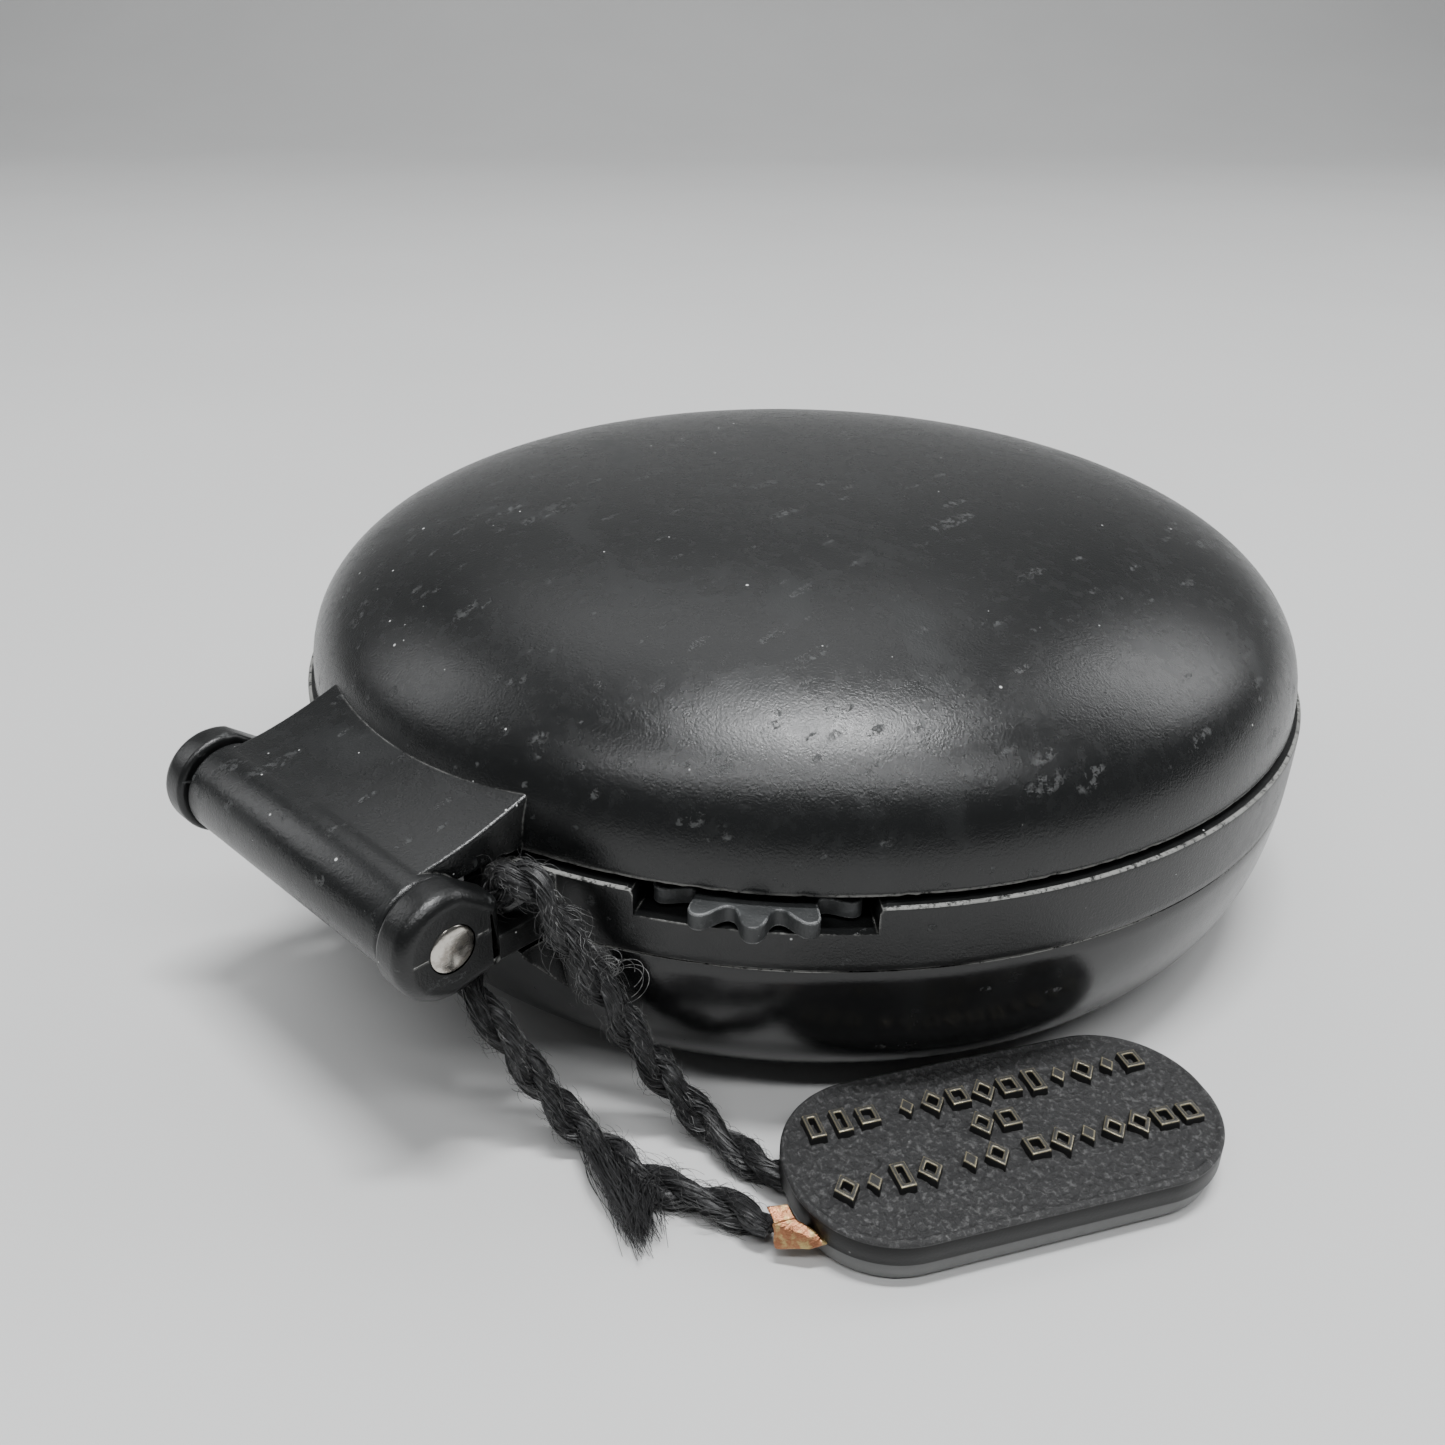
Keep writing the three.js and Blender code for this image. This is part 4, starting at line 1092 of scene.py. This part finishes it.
def spline(points, per_span):
    """Centripetal Catmull-Rom points through a route, as the CAD source sweeps it."""
    route = [Vector(p) for p in points]
    route = [route[0] * 2 - route[1], *route, route[-1] * 2 - route[-2]]
    line = []
    for a, b, c, d in zip(route, route[1:], route[2:], route[3:]):
        s, t, u = ((q - p).length ** 0.5 for p, q in ((a, b), (b, c), (c, d)))
        m = ((b - a) / s - (c - a) / (s + t) + (c - b) / t) * t
        n = ((c - b) / t - (d - b) / (t + u) + (d - c) / u) * t
        for k in range(per_span):
            x = k / per_span
            line.append(b + m * x + ((c - b) * 3 - m * 2 - n) * x ** 2 + ((b - c) * 2 + m + n) * x ** 3)
    return [*line, route[-2].copy()]


def carried_frames(line):
    """(tangent, normal, binormal) at each point of a line, carried along it without twist."""
    tangents = [(q - p).normalized() for p, q in zip(line, line[1:])]
    tangents.append(tangents[-1])
    normal = tangents[0].cross(Vector((0, 0, 1))).normalized()
    frames = []
    for tangent in tangents:
        normal = (normal - tangent * normal.dot(tangent)).normalized()
        frames.append((tangent, normal, tangent.cross(normal)))
    return frames


def tube(verts, faces, line, radii, sides, frames=None):
    """Adds a closed tube along a line to verts and faces, tapered by radii."""
    frames = frames or carried_frames(line)
    base = len(verts)
    for point, radius, (_, normal, binormal) in zip(line, radii, frames):
        for i in range(sides):
            a = TAU * i / sides
            verts.append(point + (normal * math.cos(a) + binormal * math.sin(a)) * radius)
    for k in range(len(line) - 1):
        for i in range(sides):
            j = (i + 1) % sides
            faces.append((base + k * sides + i, base + k * sides + j,
                          base + (k + 1) * sides + j, base + (k + 1) * sides + i))
    last = base + (len(line) - 1) * sides
    faces.append(tuple(reversed(range(base, base + sides))))
    faces.append(tuple(range(last, last + sides)))


PLY_TURN = 7.0  # millimetres of yarn in one full turn of its plies
PLY_OFFSET, PLY_R = 0.44, 0.49
STEP = 0.2  # between the points of its centreline
STRANDS, HAIRS, CURLS, TUFT_FIBRES = 30, 1500, 9, 420
CURLS_AT = Vector((15.1, -34.3, 12.0))
TUFT_TIP, TUFT_FROM, TUFT_TO = (Vector(p) for p in (
    (24.0, -38.1, 0.25), (21.8, -34.9, 1.0), (16.6, -35.8, 1.8)))


def resampled(line, step):
    """Points at even distances along a line."""
    out, travelled = [line[0].copy()], 0.0
    for p, q in zip(line, line[1:]):
        span = (q - p).length
        while travelled + span >= step:
            p = p.lerp(q, (step - travelled) / span)
            span = (q - p).length
            travelled = 0.0
            out.append(p.copy())
        travelled += span
    return out


def ply_swell(s, ply):
    """How full a ply is at a distance along the yarn."""
    return 1 + 0.26 * noise.noise(Vector((s * 0.42, ply * 3, 5)))


def thinned(s):
    """How full the yarn is at a distance from its crimped end."""
    return min(1.0, 0.62 + s / 2.5)


def ring_point(frame_here, turn, reach):
    """A point's offset from a line: reach away from it, at an angle about it."""
    _, normal, binormal = frame_here
    return (normal * math.cos(turn) + binormal * math.sin(turn)) * reach


def fibres(name, verts, faces, material, *stands_for):
    """A piece of yarn from finished tubes."""
    return publish(mesh_object(name, verts, faces), "case", "yarn", material, *stands_for,
                   sharp=80)


def ply_axes(line, frames):
    """The two plies' own centrelines, winding round the yarn's."""
    plies = []
    for ply in range(2):
        axis = []
        for k, point in enumerate(line):
            s = k * STEP
            turn = TAU * s / PLY_TURN + math.pi * ply + 0.5 * noise.noise(Vector((s * 0.2, 4, 0)))
            spread = 1 + 0.3 * noise.noise(Vector((s * 0.35, ply * 7, 0)))
            offset = PLY_OFFSET * min(1.0, 0.55 + s / 2.2) * spread
            axis.append(point + ring_point(frames[k], turn, offset))
        plies.append(axis)
    return plies


def make_yarn(material, highlit_hair_material):
    line = resampled(spline(ROUTE + TUCKED, 24), STEP)
    plies = ply_axes(line, carried_frames(line))
    verts, faces = [], []
    for ply, axis in enumerate(plies):
        radii = [PLY_R * ply_swell(k * STEP, ply) * thinned(k * STEP) for k in range(len(axis))]
        tube(verts, faces, axis, radii, 14)
    yarn = fibres("lanyard_yarn", verts, faces, material, "lanyard_cord")
    make_strands(plies, material)
    make_hairs(plies, line, highlit_hair_material)
    make_tuft(line, material)


def make_strands(plies, material):
    """The fibres that show on each ply: fine strands that wind round it and wander."""
    pick = random.Random(11)
    verts, faces = [], []
    for ply, axis in enumerate(plies):
        frames = carried_frames(axis)
        for strand in range(STRANDS):
            start = TAU * strand / STRANDS + pick.uniform(-0.2, 0.2)
            seed, lift = pick.uniform(0, 90), pick.uniform(-0.02, 0.07)
            path, radii = [], []
            for k in range(0, len(axis), 2):
                s = k * STEP
                turn = start - TAU * s / 8.0 + 1.1 * noise.noise(Vector((s * 0.45, seed, 1)))
                bulge = lift + 0.13 * noise.noise(Vector((s * 0.7, seed, 9)))
                reach = (PLY_R * ply_swell(s, ply) + bulge) * thinned(s)
                point = axis[k] + ring_point(frames[k], turn, reach)
                point.z = max(point.z, 0.06)
                path.append(point)
                radii.append(0.052 + 0.02 * noise.noise(Vector((s, seed, 4))))
            tube(verts, faces, path, radii, 4)
    return fibres("lanyard_strands", verts, faces, material)


def tapered(thick, count):
    """Radii that thin out along a fibre of count points."""
    return [thick * (1 - 0.6 * j / count) for j in range(count)]


def hair_path(root, out, drift, length, curl, pick, count=10):
    """A loose fibre: it leaves along out, drifts along drift, and curls."""
    side = out.cross(drift).normalized()
    phase, loops = pick.uniform(0, TAU), pick.uniform(0.4, 1.3)
    path = []
    for k in range(count):
        t = k / (count - 1)
        swing = curl * t * length
        turn = phase + loops * TAU * t
        point = root + (out * (0.75 - 0.35 * t) + drift * (0.35 + 0.65 * t)) * (t * length * 0.7)
        point = point + side * (math.sin(turn) - math.sin(phase) * (1 - t)) * swing
        point = point + out * math.cos(turn) * swing * 0.5
        point.z = max(point.z, 0.05)
        path.append(point)
    return path


def nearest(line, point):
    return min(range(len(line)), key=lambda k: (line[k] - point).length)


SHAGGY = (Vector((14.6, -34.7, 13.2)), Vector((10.5, -36.0, 15.0)), Vector((22.5, -34.9, 1.0)))


def make_hairs(plies, line, material):
    """Loose fibres all along the yarn, longer at the shaggy places, and a few open curls."""
    pick = random.Random(23)
    verts, faces = [], []
    last = len(line) - 1
    places = [nearest(line, place) for place in SHAGGY]
    for _ in range(HAIRS):
        k = pick.randint(6, last - 12)
        axis = plies[pick.randint(0, 1)]
        tangent = (axis[k + 1] - axis[k - 1]).normalized()
        out = (axis[k] - line[k]).normalized()
        out = (Quaternion(tangent, pick.uniform(-1.6, 1.6)) @ out).normalized()
        shaggy = max(math.exp(-((k - place) * STEP / 3.0) ** 2) for place in places)
        length = pick.uniform(0.5, 1.5) + 2.0 * shaggy * pick.random() ** 1.5
        drift = (tangent * pick.choice((-1, 1, 1)) + Vector((0, 0, -0.12))).normalized()
        root = axis[k] + out * (PLY_R * 0.95)
        path = hair_path(root, out, drift, length, pick.uniform(0.04, 0.26), pick)
        thick = pick.uniform(0.011, 0.021)
        tube(verts, faces, path, tapered(thick, len(path)), 3)
    middle = nearest(line, CURLS_AT)
    for _ in range(CURLS):
        k = middle + pick.randint(-4, 9)
        out = Vector((0.85, 0.35, pick.uniform(-0.2, 0.3))).normalized()
        radius = pick.uniform(0.7, 1.35)
        start, sweep = pick.uniform(2.4, 3.6), pick.uniform(3.0, 5.0)
        centre = line[k] + out * (radius + pick.uniform(0.3, 0.9))
        tilt = Quaternion(out, pick.uniform(-0.7, 0.7))
        path = []
        for j in range(22):
            a = start - sweep * j / 21
            wide = radius * (1 - 0.25 * j / 21)
            turned = tilt @ (out * math.cos(a) + Vector((0.2, 0.2, 1)) * math.sin(a))
            path.append(centre + turned * wide)
        tube(verts, faces, path, [0.021] * len(path), 3)
    return fibres("lanyard_hairs", verts, faces, material)


def make_tuft(line, material):
    """A frayed tail of fibres that leaves the lower strand, lies on the ground and thins to a tip."""
    pick = random.Random(7)

    def spread(*ranges):
        return Vector([pick.uniform(*ends) for ends in ranges])

    first, last = nearest(line, TUFT_FROM), nearest(line, TUFT_TO)
    verts, faces = [], []
    for _ in range(TUFT_FIBRES):
        share = pick.random()
        at = line[round(first + (last - first) * share ** 1.3)]
        aim = TUFT_TIP + spread((-1.1, 0.9), (-0.7, 1.0), (0, 0.9)) - at
        reach = pick.uniform(0.55, 1.0)
        bow = spread((-0.5, 0.4), (-0.6, 0.2), (-0.1, 0.6))
        root = at + spread((-0.5, 0.5), (-0.7, 0.3), (-0.7, 0.7))
        wave, phase = pick.uniform(0.0, 0.12), pick.uniform(0, TAU)
        path = []
        for j in range(11):
            t = j / 10
            point = root + aim * (reach * t) + bow * math.sin(math.pi * t)
            point = point + Vector((1, 0.4, 0.3)) * wave * (math.sin(phase + 4 * t) - math.sin(phase))
            point.z = max(0.05, point.z)
            path.append(point)
        thick = pick.uniform(0.02, 0.045)
        tube(verts, faces, path, [thick * (1 - 0.6 * j / 10) for j in range(11)], 3)
    return fibres("lanyard_tuft", verts, faces, material)


# ---- Stage ----


ROOM_COLOUR, ROOM_STRENGTH, LAMP_COLOUR = (0.86, 0.88, 0.90, 1), 0.13, (0.98, 0.99, 1.0)
# Each lamp, in metres and watts: place, width along the picture, depth, power.
LAMPS = [
    ("over", (0.06, -0.01, 0.60), 0.24, 0.05, 3.8),
    ("over_front", (0.22, -0.22, 0.58), 0.85, 0.06, 2.8),
    ("left", (-0.56, -0.30, 0.40), 0.40, 0.25, 0.9),
    ("right", (0.22, 0.52, 0.42), 0.40, 0.25, 1.5),
    ("key", (-0.45, 0.35, 0.95), 0.9, 0.6, 2.6),
]


def make_stage():
    """A pale seamless sweep that rises behind the compass, a dim room, and lights hung over it."""
    away = (CAMERA_TO - CAMERA_AT).xy.normalized()
    side = Vector((away.y, -away.x))
    bend = [(0.55 + 0.45 * math.sin(t), 0.45 * (1 - math.cos(t))) for t in quarter(24)]
    profile = [(-1.6, 0), *bend, (1.0, 1.6)]
    verts = [(*(away * d + side * w), z) for d, z in profile for w in (-2.2, 2.2)]
    faces = [(k, k + 1, k + 3, k + 2) for k in range(0, 2 * len(profile) - 2, 2)]
    floor = mesh_object("floor", verts, faces)
    for face in floor.data.polygons:
        face.use_smooth = True
    clothe(floor, floor_material())
    world = bpy.data.worlds.new("studio")
    bpy.context.scene.world = world
    world.use_nodes = True
    colour, strength = world.node_tree.nodes["Background"].inputs[:2]
    colour.default_value, strength.default_value = ROOM_COLOUR, ROOM_STRENGTH
    for name, at, width, depth, power in LAMPS:
        data = bpy.data.lights.new(name, "AREA")
        data.shape, data.size, data.size_y, data.energy = "RECTANGLE", width, depth, power
        data.color = LAMP_COLOUR
        lamp = bpy.data.objects.new(name, data)
        bpy.context.scene.collection.objects.link(lamp)
        back = Vector(at).normalized()
        across = Vector((*side, 0))
        across = (across - back * across.dot(back)).normalized()
        turn = Matrix((across, back.cross(across), back)).transposed().to_4x4()
        lamp.matrix_world = Matrix.Translation(at) @ turn


# ---- The compass ----

make_camera()

LID_EDGE = (RIM_R, RIM_Z, 0.3)
CASE_EDGE = (case_r(EDGE_Z) - 0.1, EDGE_Z, 0.13)
PARTING = (case_r(PART_Z), PART_Z, 0.1)

satin = moulded("satin_black", keen=0.14, rims=[LID_EDGE])
band_black = moulded("band_black", tone=0.005, gloss=0.28, dust=0.7, wear=1.3, scuffs=0.3,
                     keen=0.12, rims=[CASE_EDGE, PARTING])
smooth = moulded("smooth_black", tone=0.005, gloss=0.17, grain=0.3, dust=0.4, wear=0.5,
                 scuffs=0.1, rims=[PARTING])
wheel_black = moulded("wheel_black", tone=0.030, gloss=0.42, grain=1.5, dust=1.5, wear=1.6,
                      scuffs=1.5, keen=0.07, bare=(0.55, 0.56, 0.56))
inner_black = moulded("inner_black", gloss=0.42, grain=0.8, dust=0.4, wear=0.3, scuffs=0.2)
polished = metal("polished_steel", (0.58, 0.55, 0.50), 0.17, 0.6, (0.20, 0.17, 0.14), 0.6)
screw_steel = metal("screw_steel", (0.50, 0.50, 0.50), 0.30, 0.6)
copper = metal("copper", (0.38, 0.17, 0.09), 0.30, 8.0, (0.56, 0.44, 0.20), 0.9, 0.6)
brass = metal("brass", (0.72, 0.55, 0.25), 0.22, 0.4, (0.3, 0.22, 0.1), 0.3)
mirror_glass = silvered("silvered_glass", (0.86, 0.88, 0.89), (0.74, 0.76, 0.77))
luminous = painted("luminous_paint", (0.66, 0.72, 0.52), 0.55, 0.3)
card = painted("white_card", (0.80, 0.80, 0.76), 0.6, 0.12)
red_paint = painted("needle_red", (0.50, 0.03, 0.02), 0.35, 0.3)
plate_red = painted("plate_red", (0.36, 0.05, 0.03), 0.5, 0.3)
white_paint = painted("needle_white", (0.75, 0.75, 0.72), 0.35, 0.2)
line_black = painted("line_black", (0.01, 0.01, 0.01), 0.4, 0.3)
ruby = painted("ruby", (0.28, 0.01, 0.05), 0.12, 0.2)
foam = painted("foam", (0.07, 0.07, 0.068), 0.9, 0.8)
tag_grey = painted("tag_grey", (0.135, 0.137, 0.135), 0.38, 0.3)
yarn_black = yarn_material("yarn_black", (0.004, 0.004, 0.0045), (0.028, 0.028, 0.029))
# The loose hairs get a lighter copy of the yarn's colours: a painted highlight for the light they catch.
yarn_hair_highlit = yarn_material("yarn_hair_highlit", (0.03, 0.03, 0.031), (0.15, 0.15, 0.145))

make_tag(tag_black_material(), tag_grey, mark_material())
make_crimp(copper)
make_yarn(yarn_black, yarn_hair_highlit)

make_lid(satin)
make_mirror(inner_black, mirror_glass, line_black)
make_lower_shell(smooth)
make_upper_case(band_black)
make_hinge_pin(polished)
make_thumbwheel(wheel_black)
make_axle(screw_steel)
make_case_screws(screw_steel)
make_bezel(inner_black, luminous, screw_steel)
make_dial(inner_black)
make_dial_marks(luminous)
make_capsule(clear("capsule_plastic"), clear("lens_plastic"), card, plate_red)
make_needle(red_paint, white_paint, brass, ruby, polished)
for node, material in (("mirror_pad", foam), ("dial_snap_ring", screw_steel)):
    clothe(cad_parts[node], material)

make_stage()
